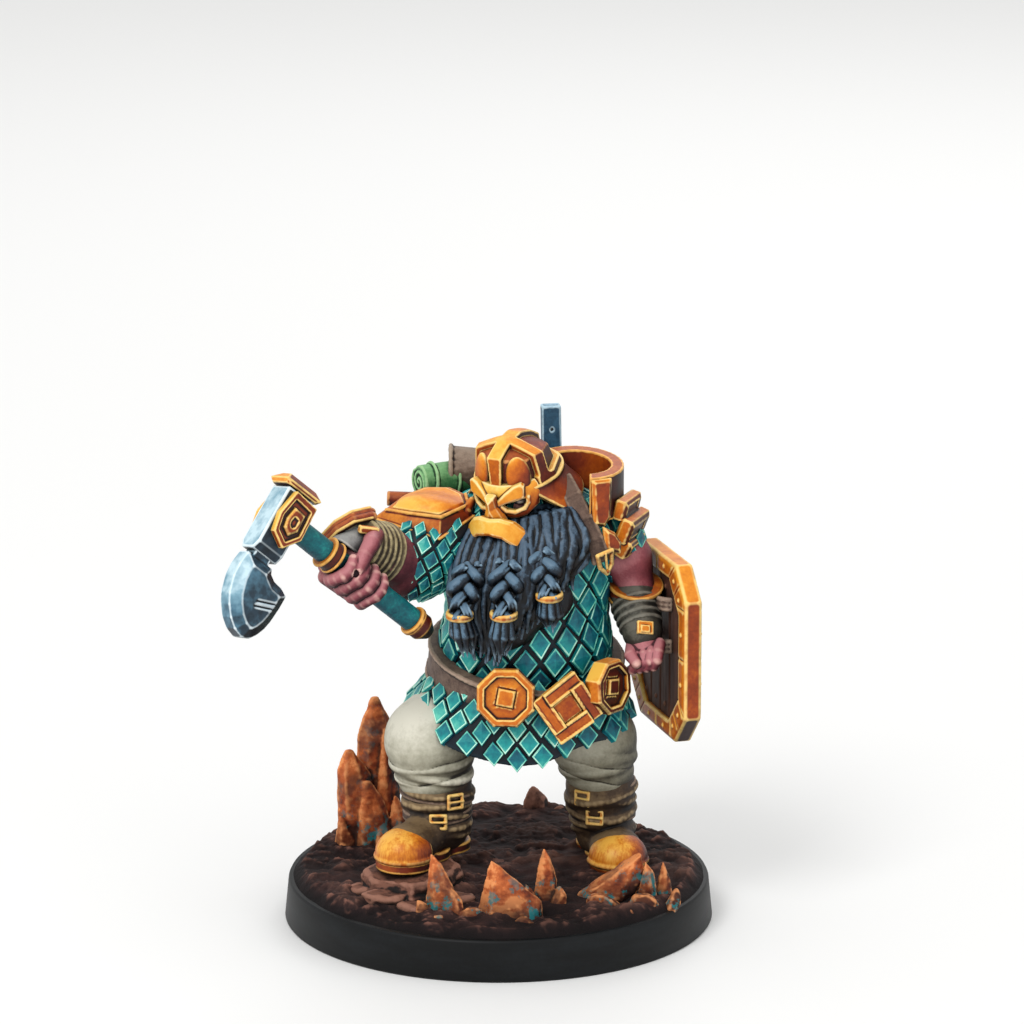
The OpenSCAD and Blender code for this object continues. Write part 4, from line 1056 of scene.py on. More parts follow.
def sleeves():
    shapes = {"right": ((-3.2, -0.6, 29.6), (-5.6, -2.4, 28.4), (-6.6, -3.0, 27.5), 2.85, 2.85, 2.35),
              "left": ((7.0, 0.5, 30.4), (8.3, 0.2, 29.4), (8.9, 0.1, 28.7), 1.9, 1.85, 1.7)}
    for side, (a, b, c, ra, rb, rc) in shapes.items():
        a, b, c = (np.array(p, float) for p in (a, b, c))
        clay = Clay(np.minimum(a, c) - 3.3, np.maximum(a, c) + 3.3, 0.11)
        clay.join(limb(a, b, ra, rb), 0.3).join(limb(b, c, rb, rc), 0.5)
        under = clay.mesh(f"{side}_sleeve_under")
        piece(under, UNDERCOAT_AND_SHADE, "teal_scale_paint", f"{side}_sleeve")
        pitch = 0.92
        rows = [-2.7 + pitch * i for i in range(7)]
        scale_coat(f"{side}_sleeve_scales", under, tuple(b), (0.25, 0.15, 1), (-0.3, -1, 0), rows,
                   13 if side == "right" else 9, "teal_scale_paint", fill=0.82)


BELT_TILT = turn(14, 6, 0)
BELT_AT = np.array((1.95, 0.2, 19.3))


def belt():
    clay = Clay((-5.8, -7.4, 15.4), (9.8, 7.8, 23.0), 0.1)

    def around(X, Y, Z):
        x, y, z = local(X, Y, Z, BELT_AT, BELT_TILT)
        return (length(x / 6.6, y / 6.15) - 1) * 6.2, z
    bounds = ((-5.6, -7.2, 15.6), (9.6, 7.6, 22.8))

    def band(X, Y, Z):
        d, z = around(X, Y, Z)
        return np.maximum(np.abs(d - 0.05) - 0.5, np.abs(z) - 1.3)

    def lip(X, Y, Z):
        d, z = around(X, Y, Z)
        return np.maximum(np.abs(d - 0.2) - 0.5, np.abs(np.abs(z) - 1.2) - 0.14)
    clay.join(Shape(band, *bounds), 0.05).join(Shape(lip, *bounds), 0.08)
    piece(clay.mesh("belt_leather", lambda p, n: 0.12 * (rough_noise(p, 1.3, 4, 3) - 0.5)), LEATHER, "belt_paint", "belt")


def framed_square(clay, frame_at, radius, level, thick):
    """A raised square inside four mitred facets, filling an eight-sided recess in a plate's own XZ plane."""
    half, gap = radius * 0.3, radius * 0.035
    clay.join(posed(slab([(-half, -half), (half, -half), (half, half), (-half, half)], (0, level - thick * 0.3, 0), np.eye(3),
                         thick, 0.04, bevel=0.08, slope=0.8), frame_at), 0.02)
    right = [(half - gap, half + gap), (radius * 0.5 - gap, radius * 0.5 + gap), (radius * 0.3, radius * 0.68)]
    outline = [(-x, z) for x, z in right[::-1]] + right
    for k in range(4):
        at = (frame_at[0] @ turn(0, 90 * k, 0), frame_at[1])
        clay.join(posed(slab(outline, (0, level, 0), turn(-10, 0, 0), thick, 0.03), at), 0.02)


def round_plate(name, frame_at, radius, node, deep=0.9):
    """An eight-sided plate: a raised border round a sunk square in a mitred frame."""
    clay = Clay(frame_at[1] - radius * 1.3, frame_at[1] + radius * 1.3, 0.05)
    clay.join(posed(slab(ring_points(radius, 8), (0, -deep / 2, 0), np.eye(3), deep, 0.06, bevel=0.14, slope=0.8), frame_at))
    clay.cut(posed(slab(ring_points(radius * 0.74, 8), (0, -deep, 0), np.eye(3), 0.75, 0.03), frame_at), 0.02)
    at = (frame_at[0] @ turn(0, 10, 0), frame_at[1])
    framed_square(clay, at, radius, -deep + 0.38, 0.36)
    piece(clay.mesh(name), GOLD, "gold_paint", node)


def buckles():
    round_plate("round_buckle", (turn(-8, 0, -4), np.array((0.6, -6.5, 18.75))), 2.12, "belt_buckle", 1.05)
    round_plate("side_medallion", (turn(-4, 0, 52), np.array((7.5, -4.7, 19.1))), 1.95, "belt_medallion", 1.4)
    at = (turn(-8, 0, 16) @ turn(0, -32, 0), np.array((4.85, -6.2, 17.9)))
    clay = Clay(at[1] - 3.4, at[1] + 3.4, 0.05)
    clay.join(posed(brick((0, -0.2, 0), (1.5, 0.25, 1.5), edge=0.05), at))
    clay.join(posed(brick((0, -0.5, 0), (0.82, 0.3, 0.82), edge=0.06), at), 0.02)
    for k in range(4):
        turned = (at[0] @ turn(0, 90 * k, 0), at[1])
        clay.join(posed(brick((0.42, -0.72, 1.42), (1.5, 0.3, 0.56), turn(0, 0, 6), 0.06), turned), 0.02)
        clay.cut(posed(brick((0.42, -1.08, 1.42), (2.2, 0.12, 0.34), turn(0, 0, 6), 0.03), turned), 0.02)
    piece(clay.mesh("knot_plate"), GOLD, "gold_paint", "belt_knot_plate")


# ---------------------------------------------------------------- head and helm

def head_and_face():
    clay = Clay((-3, -3.6, -4.6), (3, 3.4, 2.3), 0.08, HEAD)
    clay.join(egg((0, 0.3, -0.3), (2.2, 2.5, 2.2)), 0.2)
    clay.join(limb((0, 0.9, -2.2), (0, 1.0, -3.4), 1.9, 1.9), 0.6)
    for s in (-1, 1):
        clay.join(egg((1.35 * s, -2.05, -1.7), (0.75, 0.6, 0.5)), 0.4)
        clay.cut(egg((1.35 * s, -2.6, -0.95), (0.85, 0.55, 0.42)), 0.15)
    piece(clay.mesh("face"), SKIN, "skin_paint", "head")
    eyes = Clay((-2.2, -3.2, -1.6), (2.2, -1.6, -0.4), 0.05, HEAD)
    pupils = Clay((-2.2, -3.4, -1.6), (2.2, -1.6, -0.4), 0.05, HEAD)
    for s in (-1, 1):
        eyes.join(egg((1.35 * s, -2.35, -1.0), (0.5, 0.42, 0.27)), 0.02)
        pupils.join(egg((1.3 * s - 0.08, -2.68, -0.99), (0.2, 0.14, 0.21)), 0.02)
    white = painted("eye_paint", ((0.2, "#4b4448"), (0.9, "#a19a94")), "#bdb7b0", "#1a1012", grain=0.05)
    dark = painted("pupil_paint", ((0.2, "#07070a"), (0.9, "#1b1d24")), "#39404c", "#050506", grain=0.05)
    piece(eyes.mesh("eye_whites"), white, "skin_paint")
    piece(pupils.mesh("eye_pupils"), dark, "skin_paint")


def bowl(grow=0.0):
    """The boxy skull of the helm, in the head's frame."""
    points = []
    for ring in (((0.85, -2.95, -0.6), (2.3, -1.95, -0.6), (2.85, 0.2, -0.6), (2.3, 2.1, -0.6), (0.9, 3.05, -0.6)),
                 ((0.75, -2.55, 2.2), (1.95, -1.75, 2.0), (2.4, 0.0, 1.85), (1.9, 1.8, 1.6), (0.7, 2.6, 1.4)),
                 ((0.35, -1.1, 2.68), (0.95, -0.8, 2.5), (0.45, 0.4, 2.68), (0.3, 1.6, 2.2))):
        points += [(s * x, y, z) for x, y, z in ring for s in (-1, 1)]
    shape = crystal(points, 0.08)
    return Shape(lambda X, Y, Z: shape.distance(X, Y, Z) - grow, (-3.5, -3.7, -1.2), (3.5, 3.7, 3.3))


def helm():
    low, high = (-3.7, -4.1, -1.2), (3.7, 4.1, 3.4)
    red = Clay(low, high, 0.07, HEAD)
    red.join(bowl()).cut(brick((0, 0, -4.35), (5, 5, 4)))
    red.cut(egg((0, 0.3, -0.3), (2.2, 2.5, 2.1)))
    piece(red.mesh("helm_shell"), RED_BROWN, "red_brown_paint", "helm_bowl")
    gold = Clay(low, high, 0.05, HEAD)
    gold.join(bowl(0.42))
    bands = Clay(low, high, 0.05, HEAD)
    bands.join(slab([(-0.34, -0.9), (-0.56, 2.2), (-0.6, 5), (0.6, 5), (0.56, 2.2), (0.34, -0.9)], (0, 0, 0), np.eye(3), 9, 0.02), 0)
    bands.join(brick((0, -0.8, 2), (5, 0.48, 4), edge=0.02), 0)
    bands.join(brick((0, 2.6, 0.0), (5, 4.0, 0.48), edge=0.02), 0.3)
    gold.field = np.maximum(gold.field, bands.field)
    gold.cut(bowl(-0.05), 0.02).cut(brick((0, 0, -4.85), (5, 5, 4)), 0.03)
    for s in (-1, 1):
        gold.join(egg((1.5 * s, -2.28, 0.85), (0.92, 0.42, 1.55), turn(-10, 0, 36 * s)), 0.02)
    piece(gold.mesh("helm_bands_cast"), GOLD, "gold_paint", "helm_bands")

    mask = Clay((-3.6, -5.2, -2.9), (3.6, 0.4, 1.4), 0.05, HEAD)
    skin = egg((0, -0.2, -0.9), (2.85, 3.35, 2.6))
    face = Shape(lambda X, Y, Z: np.maximum(np.abs(skin.distance(X, Y, Z)) - 0.22, Y + 1.5), (-3.4, -4.2, -2.9), (3.4, -1, 1.4))
    mask.join(face)
    half = [(0, -1.8), (0.5, -1.95), (1.2, -2.2), (1.9, -2.1), (2.5, -1.5), (2.75, -0.6), (2.7, 0.5)]
    mask.keep(slab([(-x, z) for x, z in half[::-1]] + half[1:], (0, -3, 0), np.eye(3), 6, 0.05), 0.05)
    for s in (-1, 1):
        hole = [(0.5, -0.95), (0.8, -1.3), (1.35, -1.48), (1.9, -1.3), (2.12, -0.95), (2.1, -0.55), (0.6, -0.8)]
        mask.cut(slab([(s * x, z) for x, z in hole], (0, -3, 0), np.eye(3), 4, 0.04), 0.05)
        rim = [(0.5, -1.0), (0.8, -1.38), (1.35, -1.58), (1.95, -1.38), (2.2, -0.95), (2.2, -0.5)]
        mask.rope([(s * x, -0.2 - 3.52 * math.sqrt(max(0.05, 1 - (x / 2.98) ** 2 - ((z + 0.9) / 2.75) ** 2)), z) for x, z in rim],
                  0.17, 0.05)
        wing = [(0.1, -0.95), (0.8, -0.72), (1.6, -0.5), (2.15, -0.42), (2.25, 0.5), (2.0, 0.72), (1.45, 0.55), (0.7, 0.02), (0.1, -0.5)]
        mask.join(slab([(s * x, z) for x, z in wing], (0.1 * s, -3.66, 0), turn(-6, 0, 24 * s), 0.75, 0.05, bevel=0.12), 0.02)
    nose = slab([(-0.36, 0.1), (-0.4, -0.8), (-0.72, -1.6), (-0.88, -2.05), (-0.7, -2.35), (0.7, -2.35), (0.88, -2.05), (0.72, -1.6),
                 (0.4, -0.8), (0.36, 0.1)], (0, -4.15, 0), turn(8, 0, 0), 1.25, 0.05, bevel=0.4, slope=0.9)
    mask.join(nose, 0.02)
    piece(mask.mesh("face_plate"), MASK_GOLD, "gold_paint", "helm_mask")

    tash = Clay((-3.8, -7.0, -5.6), (3.8, -1.0, -0.9), 0.05, HEAD)
    half = [(-0.3, -1.75), (0.8, -1.65), (1.6, -1.85), (2.3, -2.5), (2.75, -3.3), (2.9, -4.1), (2.75, -4.65), (2.5, -4.6),
            (1.9, -3.75), (1.0, -3.15), (-0.3, -2.95)]
    for s in (-1, 1):
        tash.join(slab([(s * x, z) for x, z in half], (0, -3.8, 0), turn(-23, 0, 0), 0.9, 0.05, bevel=0.2, slope=0.8, bend=0.22), 0.03)
    piece(tash.mesh("moustache_plate"), MASK_GOLD, "gold_paint", "helm_moustache")

    guard = Clay((-5, -2.8, -3.4), (5, 5.8, 0.3), 0.07, HEAD)

    def flare(X, Y, Z):
        t = np.clip((-0.35 - Z) / 1.9, 0, 1)
        rx, ry = 3.05 + 1.0 * t ** 1.3, 3.35 + 0.9 * t ** 1.3
        d = (length(X / rx, (Y - 0.3 - 0.3 * t) / ry) - 1) * 3.2
        front = -2.1 + 1.3 * t
        return np.maximum(np.maximum(np.abs(d) - 0.22, front - Y), np.maximum(-2.45 - Z, Z))
    guard.join(Shape(flare, (-4.8, -2.6, -2.6), (4.8, 5.6, 0.1)), 0.03)
    rim = [(4.1 * math.cos(a), 0.55 + 4.3 * math.sin(a), -2.4) for a in np.linspace(-0.3, math.pi + 0.3, 40)]
    guard.rope(rim, 0.2, 0.04)
    piece(guard.mesh("neck_guard_plate"), GOLD, "gold_paint", "helm_neck_guard")


# ---------------------------------------------------------------- beard

def beard():
    """A mass of long locks, three plaits and their rings."""
    clay = Clay((-5, -8.6, 20.6), (8.4, 0.2, 32.6), 0.075)
    clay.join(egg((1.9, -1.9, 29.5), (3.6, 1.8, 2.1)), 0.3)
    clay.join(egg((2.0, -2.6, 28.6), (3.6, 2.2, 1.8)), 0.6)
    clay.join(egg((3.3, -1.9, 30.7), (2.5, 1.7, 1.6)), 0.5)
    clay.join(limb((1.5, -2.6, 28.0), (0.9, -4.6, 25.6), 2.2, 2.0), 1.0)
    clay.join(egg((1.2, -4.6, 25.6), (4.3, 1.3, 2.5)), 1.0)
    clay.join(egg((0.2, -5.3, 23.8), (2.5, 1.0, 2.0)), 1.0)
    dice = np.random.RandomState(21)
    locks = 54
    for i in range(2 * locks):
        u = (i % locks) / (locks - 1)
        deep = i // locks
        start = np.array((-1.8 + 7.2 * u, -3.1 - 0.75 * math.sin(math.pi * (u * 0.9 + 0.05)) + 0.4 * deep,
                          30.5 + 1.8 * u - 0.4 * abs(u - 0.35)))
        wide = -4.5 + 10.9 * u
        end_z = 21.4 + 6.6 * max(u - 0.45, 0) ** 0.8 * 1.3 + 3.4 * max(0.25 - u, 0) + dice.uniform(-0.3, 0.9)
        end = np.array((wide * (0.55 if u < 0.6 else 0.8), -6.0 - 0.6 * math.sin(math.pi * u) + 2.6 * max(u - 0.6, 0), end_z))
        sway = dice.uniform(-0.42, 0.42, 2)
        path = []
        for k in range(11):
            t = k / 10
            p = start + (end - start) * t ** 0.9
            p[0] += (wide - end[0]) * math.sin(math.pi * min(t * 1.1, 1)) * 0.75
            p[0] += sway[0] * math.sin(t * 8 + i)
            p[1] += -1.55 * math.sin(math.pi * t ** 0.8) * (1 - 0.5 * abs(u - 0.4)) + 0.7 * sway[1] * math.sin(t * 7 + i)
            path.append(p)
        thick = dice.uniform(0.18, 0.33)
        clay.rope(path, [thick * (1 - 0.8 * (k / 10) ** 2.2) + 0.05 for k in range(11)], 0.06)
    piece(clay.mesh("beard_locks", lambda p, n: 0.06 * (rough_noise(p * np.array((3, 2, 0.5)), 0.5, 3, 2) - 0.5)),
          BEARD, "beard_paint", "beard")
    rings = Clay((-5, -9, 23), (6, -5, 28), 0.06)
    plaits = {"right": ((-2.1, -5.6, 28.5), (-2.8, -7.0, 25.1), (-2.2, -7.0, 21.9)),
              "middle": ((0.7, -5.6, 28.8), (0.4, -7.5, 25.25), (0.2, -7.2, 21.7)),
              "left": ((3.1, -4.9, 29.6), (3.7, -6.8, 26.5), (3.8, -6.7, 23.4))}
    for side, (top, ring, tip) in plaits.items():
        top, ring, tip = (np.array(p, float) for p in (top, ring, tip))
        plait = Clay(np.minimum(top, tip) - 2.1, np.maximum(top, tip) + 2.1, 0.06)
        steps, start_phase = 26, dice.uniform(0, 3)
        for s in range(3):
            path, sizes = [], []
            for k in range(steps + 1):
                t = k / steps
                phase = 1.9 * math.pi * t + 2 * math.pi * s / 3 + start_phase
                swell = 0.7 + 0.46 * math.sin(math.pi * min(t * 1.2 + 0.05, 1))
                path.append(top + (ring - top) * t + np.array((0.82 * swell * math.sin(phase),
                                                               -0.42 * math.sin(2 * phase) - 0.35, 0)))
                sizes.append(0.4 * swell)
            plait.rope(path, sizes, 0.03)
            for side_step in (-0.2, 0.05, 0.28):
                plait.rope([p + np.array((side_step, -0.34 * swell, 0.1 * side_step)) for p in path], 0.1, 0.02)
        for k in range(9):
            a = 2 * math.pi * k / 9
            out = np.array((0.5 * math.cos(a), 0.48 * math.sin(a), 0))
            belly = ring + (tip - ring) * 0.45 + out * dice.uniform(1.2, 1.8)
            plait.rope([ring + out, belly, tip + out * 0.6 + np.array((dice.uniform(-0.2, 0.2), 0, dice.uniform(0, 0.9)))],
                       [0.26, 0.3, 0.05], 0.04)
        piece(plait.mesh(f"{side}_plait"), PLAIT, "beard_paint", f"{side}_braid")
        loop = [ring + np.array((0.85 * math.cos(a), 0.85 * math.sin(a), 0.1 * math.sin(a))) for a in np.linspace(0, 2 * math.pi, 22)]
        for rise in (-0.1, 0.1):
            rings.rope([p + np.array((0, 0, rise)) for p in loop], 0.18, 0.1)
    piece(rings.mesh("plait_rings"), GOLD, "gold_paint", "braid_rings")


# ---------------------------------------------------------------- shoulders

def shoulders():
    low, high = np.array((-10, -5.4, 29.6)), np.array((-1.2, 4, 34.2))
    plate = Clay(low, high, 0.06)
    top = [(-8.2, -2.2, 31.75), (-6.9, -0.3, 32.4), (-5.4, 0.7, 32.75), (-3.6, 0.6, 32.75), (-2.4, -0.6, 32.5), (-2.2, -2.1, 32.1),
           (-4.2, -4.2, 31.7), (-6.6, -3.4, 31.8)]
    rim = [(-9.2, -2.2, 31.1), (-7.4, 1.2, 31.2), (-5.0, 2.9, 31.3), (-2.2, 2.2, 31.3), (-1.8, -2.4, 31.3), (-4.3, -4.7, 30.2),
           (-7.0, -3.8, 30.8)]
    plate.join(crystal(top + rim, 0.05), 0.05)
    plate.cut(egg((-5, -0.6, 28.9), (3.9, 3.7, 2.9)))
    plate.rope([np.array(p) for p in top[4:] + top[:1]], 0.14, 0.04)
    plate.rope([np.array(p) for p in rim[4:] + rim[:1]], 0.13, 0.04)
    plate.join(limb((-2.3, -2.2, 31.7), (-1.9, -1.7, 32.3), 0.4, 0.3), 0.1)
    piece(plate.mesh("right_shoulder_plate"), GOLD_DEEP, "gold_paint", "right_pauldron")

    leaf = Clay(low, high + (0, 0, 0.6), 0.06)
    middle_top = np.mean(top, 0)
    inner = [middle_top + 0.87 * (np.array(p) - middle_top) for p in top]
    leaf.join(crystal([p + (0, 0, 0.14) for p in inner] + [p - (0, 0, 0.5) for p in inner], 0.08), 0)
    leaf.join(egg(middle_top + (0.2, 0.1, -0.55), (2.7, 2.1, 1.05), turn(-10, 4, -10)), 0.3)
    piece(leaf.mesh("right_shoulder_leaf"), GOLD, "gold_paint")

    centre = np.array((5.9, -0.1))
    collar = Clay((2.6, -4.2, 30.9), (9.6, 4.0, 36.0), 0.06)

    def wall(X, Y, Z):
        d = (length((X - centre[0]) / 2.85, (Y - centre[1]) / 3.15) - 1) * 3.0
        slope = Z - (35.1 - 0.09 * (centre[1] + 3 - Y) - 0.05 * (X - centre[0]))
        gap = np.maximum(X - (centre[0] + 0.75), Y - 2.0)
        return np.maximum(np.maximum(np.abs(d) - 0.5, -gap), np.maximum(slope, 31.1 - Z))
    collar.join(Shape(wall, (2.8, -3.8, 31.1), (9.4, 3.8, 35.9)), 0.03)
    path = []
    for a in np.linspace(math.radians(-62), math.radians(135), 50):
        x, y = centre[0] + 3.2 * math.cos(a), centre[1] + 3.5 * math.sin(a)
        path.append((x, y, 31.5))
    collar.rope(path, 0.16, 0.04)
    piece(collar.mesh("left_shoulder_collar"), GOLD_DEEP, "gold_paint", "left_pauldron")
    front = Clay((5.6, -5.2, 28.2), (10.4, -1.6, 35.6), 0.055)
    face = (turn(-4, 3, 24), np.array((7.45, -3.45, 32.7)))
    front.join(posed(slab([(-0.55, -1.75), (0.35, -1.9), (0.8, -1.2), (0.85, 1.7), (-0.8, 1.6)], (0, 0, 0), np.eye(3), 0.6, 0.05,
                          bevel=0.22, slope=0.8), face), 0)
    leaf_at = (turn(-10, 0, 34), np.array((8.3, -3.9, 29.9)))
    front.join(posed(slab([(-0.7, 1.1), (0.25, 0.55), (0.75, -0.25), (0.6, -1.1), (-0.75, -0.7)], (0, 0, 0), np.eye(3), 0.6, 0.05,
                          bevel=0.25, slope=0.8), leaf_at), 0)
    piece(front.mesh("left_shoulder_face"), GOLD, "gold_paint")

    lames = Clay((6.8, -4.4, 27.2), (12.0, 3.2, 33.6), 0.06)
    for i, (out, drop, wide, high) in enumerate(((0.0, 0.0, 1.75, 0.75), (0.45, -1.5, 2.0, 0.95), (0.3, -2.85, 1.7, 0.7))):
        at = (turn(0, 14 + 7 * i, -20), np.array((9.0 + out, -0.9, 31.9 + drop)))
        lames.join(posed(slab([(-wide, -high), (wide - 0.3, -high - 0.1), (wide, -high * 0.4), (wide, high), (-wide, high)],
                              (0.45, 0, 0), turn(0, 0, 90), 1.15, 0.05, bevel=0.3, slope=0.8), at), 0.02)
        lames.cut(posed(brick((1.15, -0.2, 0.05), (0.2, wide * 0.62, high * 0.45), edge=0.05), at), 0.03)
    piece(lames.mesh("left_shoulder_lames"), GOLD, "gold_paint", "left_pauldron_lames")

    strap = Clay((4.0, -5.8, 27.6), (9.2, 0.4, 35.2), 0.07)
    path = [np.array(p) for p in ((4.7, -1.4, 33.9), (5.4, -2.7, 32.9), (6.3, -3.7, 31.4), (7.0, -4.3, 30.0), (7.5, -4.75, 28.6))]
    for a, b in zip(path, path[1:]):
        for k in (-2, -1, 0, 1, 2):
            side = np.array((0.24 * k, 0.06 * k, 0.09 * k))
            strap.join(limb(a + side, b + side, 0.2), 0.12)
    piece(strap.mesh("shoulder_strap_leather", lambda p, n: 0.06 * (rough_noise(p, 0.7, 2, 3) - 0.5)), STRAP, "belt_paint",
          "shoulder_strap")
    at = (turn(12, -14, 30), middle("strap_buckle") + np.array((0, -0.25, 0)))
    frame_clay = Clay(at[1] - 1.5, at[1] + 1.5, 0.05)
    corners = [(-0.62, 0, 0.75), (0.62, 0, 0.75), (0.5, 0, -0.35), (0, 0, -1.0), (-0.5, 0, -0.35), (-0.62, 0, 0.75)]
    frame_clay.rope([at[0] @ np.array(c) + at[1] for c in corners], 0.17, 0.03)
    frame_clay.rope([at[0] @ np.array(c) + at[1] for c in ((0, -0.1, 0.75), (0, -0.12, -0.5))], 0.1, 0.03)
    piece(frame_clay.mesh("strap_buckle_frame"), GOLD, "gold_paint", "strap_buckle")


# ---------------------------------------------------------------- right arm and hammer

GRIP_FRONT = np.array((0.387, -0.918, -0.084))   # across the haft, towards the front
GRIP_UP = np.array((0.628, 0.196, 0.752))        # across the haft, upwards
HAFT_WAY = HAFT[0] @ np.array((0, 0, 1.0))


def round_haft(angle, reach, along):
    """A point round the haft: angle 0 is up, 90 is the front; along runs to the pommel."""
    a = math.radians(angle)
    return HAFT[1] + HAFT_WAY * along + (GRIP_UP * math.cos(a) + GRIP_FRONT * math.sin(a)) * reach


def right_arm():
    elbow, wrist = np.array((-7.0, -3.5, 27.9)), np.array((-8.8, -5.8, 29.4))
    arm = Clay(np.minimum(elbow, wrist) - 2.8, np.maximum(elbow, wrist) + 2.8, MEDIUM)
    arm.join(limb(elbow, wrist, 2.15, 2.2), 0.3).join(egg((-7.2, -4.4, 27.2), (1.5, 1.3, 1.4)), 0.5)
    piece(arm.mesh("right_forearm_skin", lambda p, n: 0.05 * (rough_noise(p, 1.2, 6, 2) - 0.5)), SKIN, "skin_paint", "right_forearm")
    way = (wrist - elbow) / np.linalg.norm(wrist - elbow)
    start = middle("right_bracer")
    cuff = Clay(start - 3.6, start + 3.6, 0.08)
    for i in range(5):
        at = start + way * (-1.15 + 0.52 * i)
        cuff.join(drum(at, at + way * 0.5, 2.36 - 0.08 * i, 0.14), 0.04)
    cuff.join(drum(start - way * 1.4, start - way * 1.0, 2.45, 0.15), 0.04)
    piece(cuff.mesh("right_cuff", lambda p, n: 0.06 * (rough_noise(p, 0.6, 8, 3) - 0.5)), BRACER, "bracer_paint", "right_bracer")

    hand = Clay((-14.4, -12.6, 25.4), (-7.2, -5.2, 32.8), 0.07)
    hand.join(limb((-9.6, -6.8, 29.8), (-10.4, -7.7, 29.4), 1.35, 1.5), 0.4)
    hand.join(limb(round_haft(250, 1.45, -1.3), round_haft(250, 1.4, 1.5), 0.95, 0.85), 0.5)
    hand.join(limb(round_haft(205, 1.55, -1.3), round_haft(205, 1.45, 1.5), 0.6, 0.55), 0.3)
    for i, (along, size, end) in enumerate(((-1.35, 0.52, 52), (-0.3, 0.55, 30), (0.75, 0.53, 26), (1.7, 0.47, 34))):
        angles = np.linspace(208, end, 9)
        path = [round_haft(a, 1.32 + 0.1 * math.sin(math.radians(a)), along + 0.1 * math.sin(k * 1.3)) for k, a in enumerate(angles)]
        sizes = [size * s for s in (1.0, 1.02, 1.12, 1.0, 0.94, 1.06, 0.96, 0.9, 0.72)]
        hand.rope(path, sizes, 0.06)
    thumb = [(-9.0, -7.6, 31.1), (-9.1, -8.9, 31.0), (-9.55, -9.9, 30.4), (-10.0, -10.45, 29.5)]
    hand.rope([np.array(p) for p in thumb], [0.8, 0.66, 0.58, 0.5], 0.15)
    hand.cut(drum(round_haft(0, 0, -5), round_haft(0, 0, 6), 0.86), 0.02)
    hand.cut(egg((-10.22, -10.85, 29.25), (0.26, 0.16, 0.32), turn(20, 0, 10)), 0.02)
    piece(hand.mesh("right_fist"), SKIN, "skin_paint", "right_hand")

    back = Clay((-13.6, -10.4, 28.6), (-7.2, -4.4, 34.0), 0.07)
    back.join(limb((-9.6, -6.9, 30.6), (-11.3, -8.5, 30.5), 1.25, 1.05), 0.2)
    back.cut(drum(round_haft(0, 0, -5), round_haft(0, 0, 6), 1.3), 0.1)
    glove = painted("grey_glove_paint", ((0.1, "#2b2b2d"), (0.5, "#6a6a6c"), (0.9, "#a9a9a6")), "#c9c8c2", "#1a1a1b", grain=0.25)
    piece(back.mesh("hand_back_glove"), glove, "glove_paint")
    guard = Clay((-14.0, -9.6, 29.6), (-7.2, -4.2, 34.4), 0.06)
    line = [(-12.7, -7.9, 30.9), (-11.7, -7.5, 31.9), (-10.5, -7.0, 32.5), (-9.2, -6.2, 32.6)]
    for k, lift in ((0, 0), (1, 0.55)):
        guard.rope([np.array(p) + np.array((0.12 * k, -0.45 * k, -0.35 * lift)) for p in line], 0.34, 0.12)
    piece(guard.mesh("hand_guard_plate"), RED_BROWN, "red_brown_paint")
    trim = Clay((-14.0, -9.8, 29.4), (-7.0, -4.2, 34.4), 0.055)
    trim.rope([np.array(p) + np.array((-0.1, 0.0, 0.34)) for p in line], 0.13, 0.03)
    trim.rope([np.array(p) + np.array((0.1, -0.75, -0.2)) for p in line], 0.13, 0.03)
    trim.join(brick((-9.35, -8.1, 31.75), (0.75, 0.3, 0.28), turn(0, 12, 20), 0.1), 0.03)
    piece(trim.mesh("hand_guard_trim"), GOLD, "gold_paint")


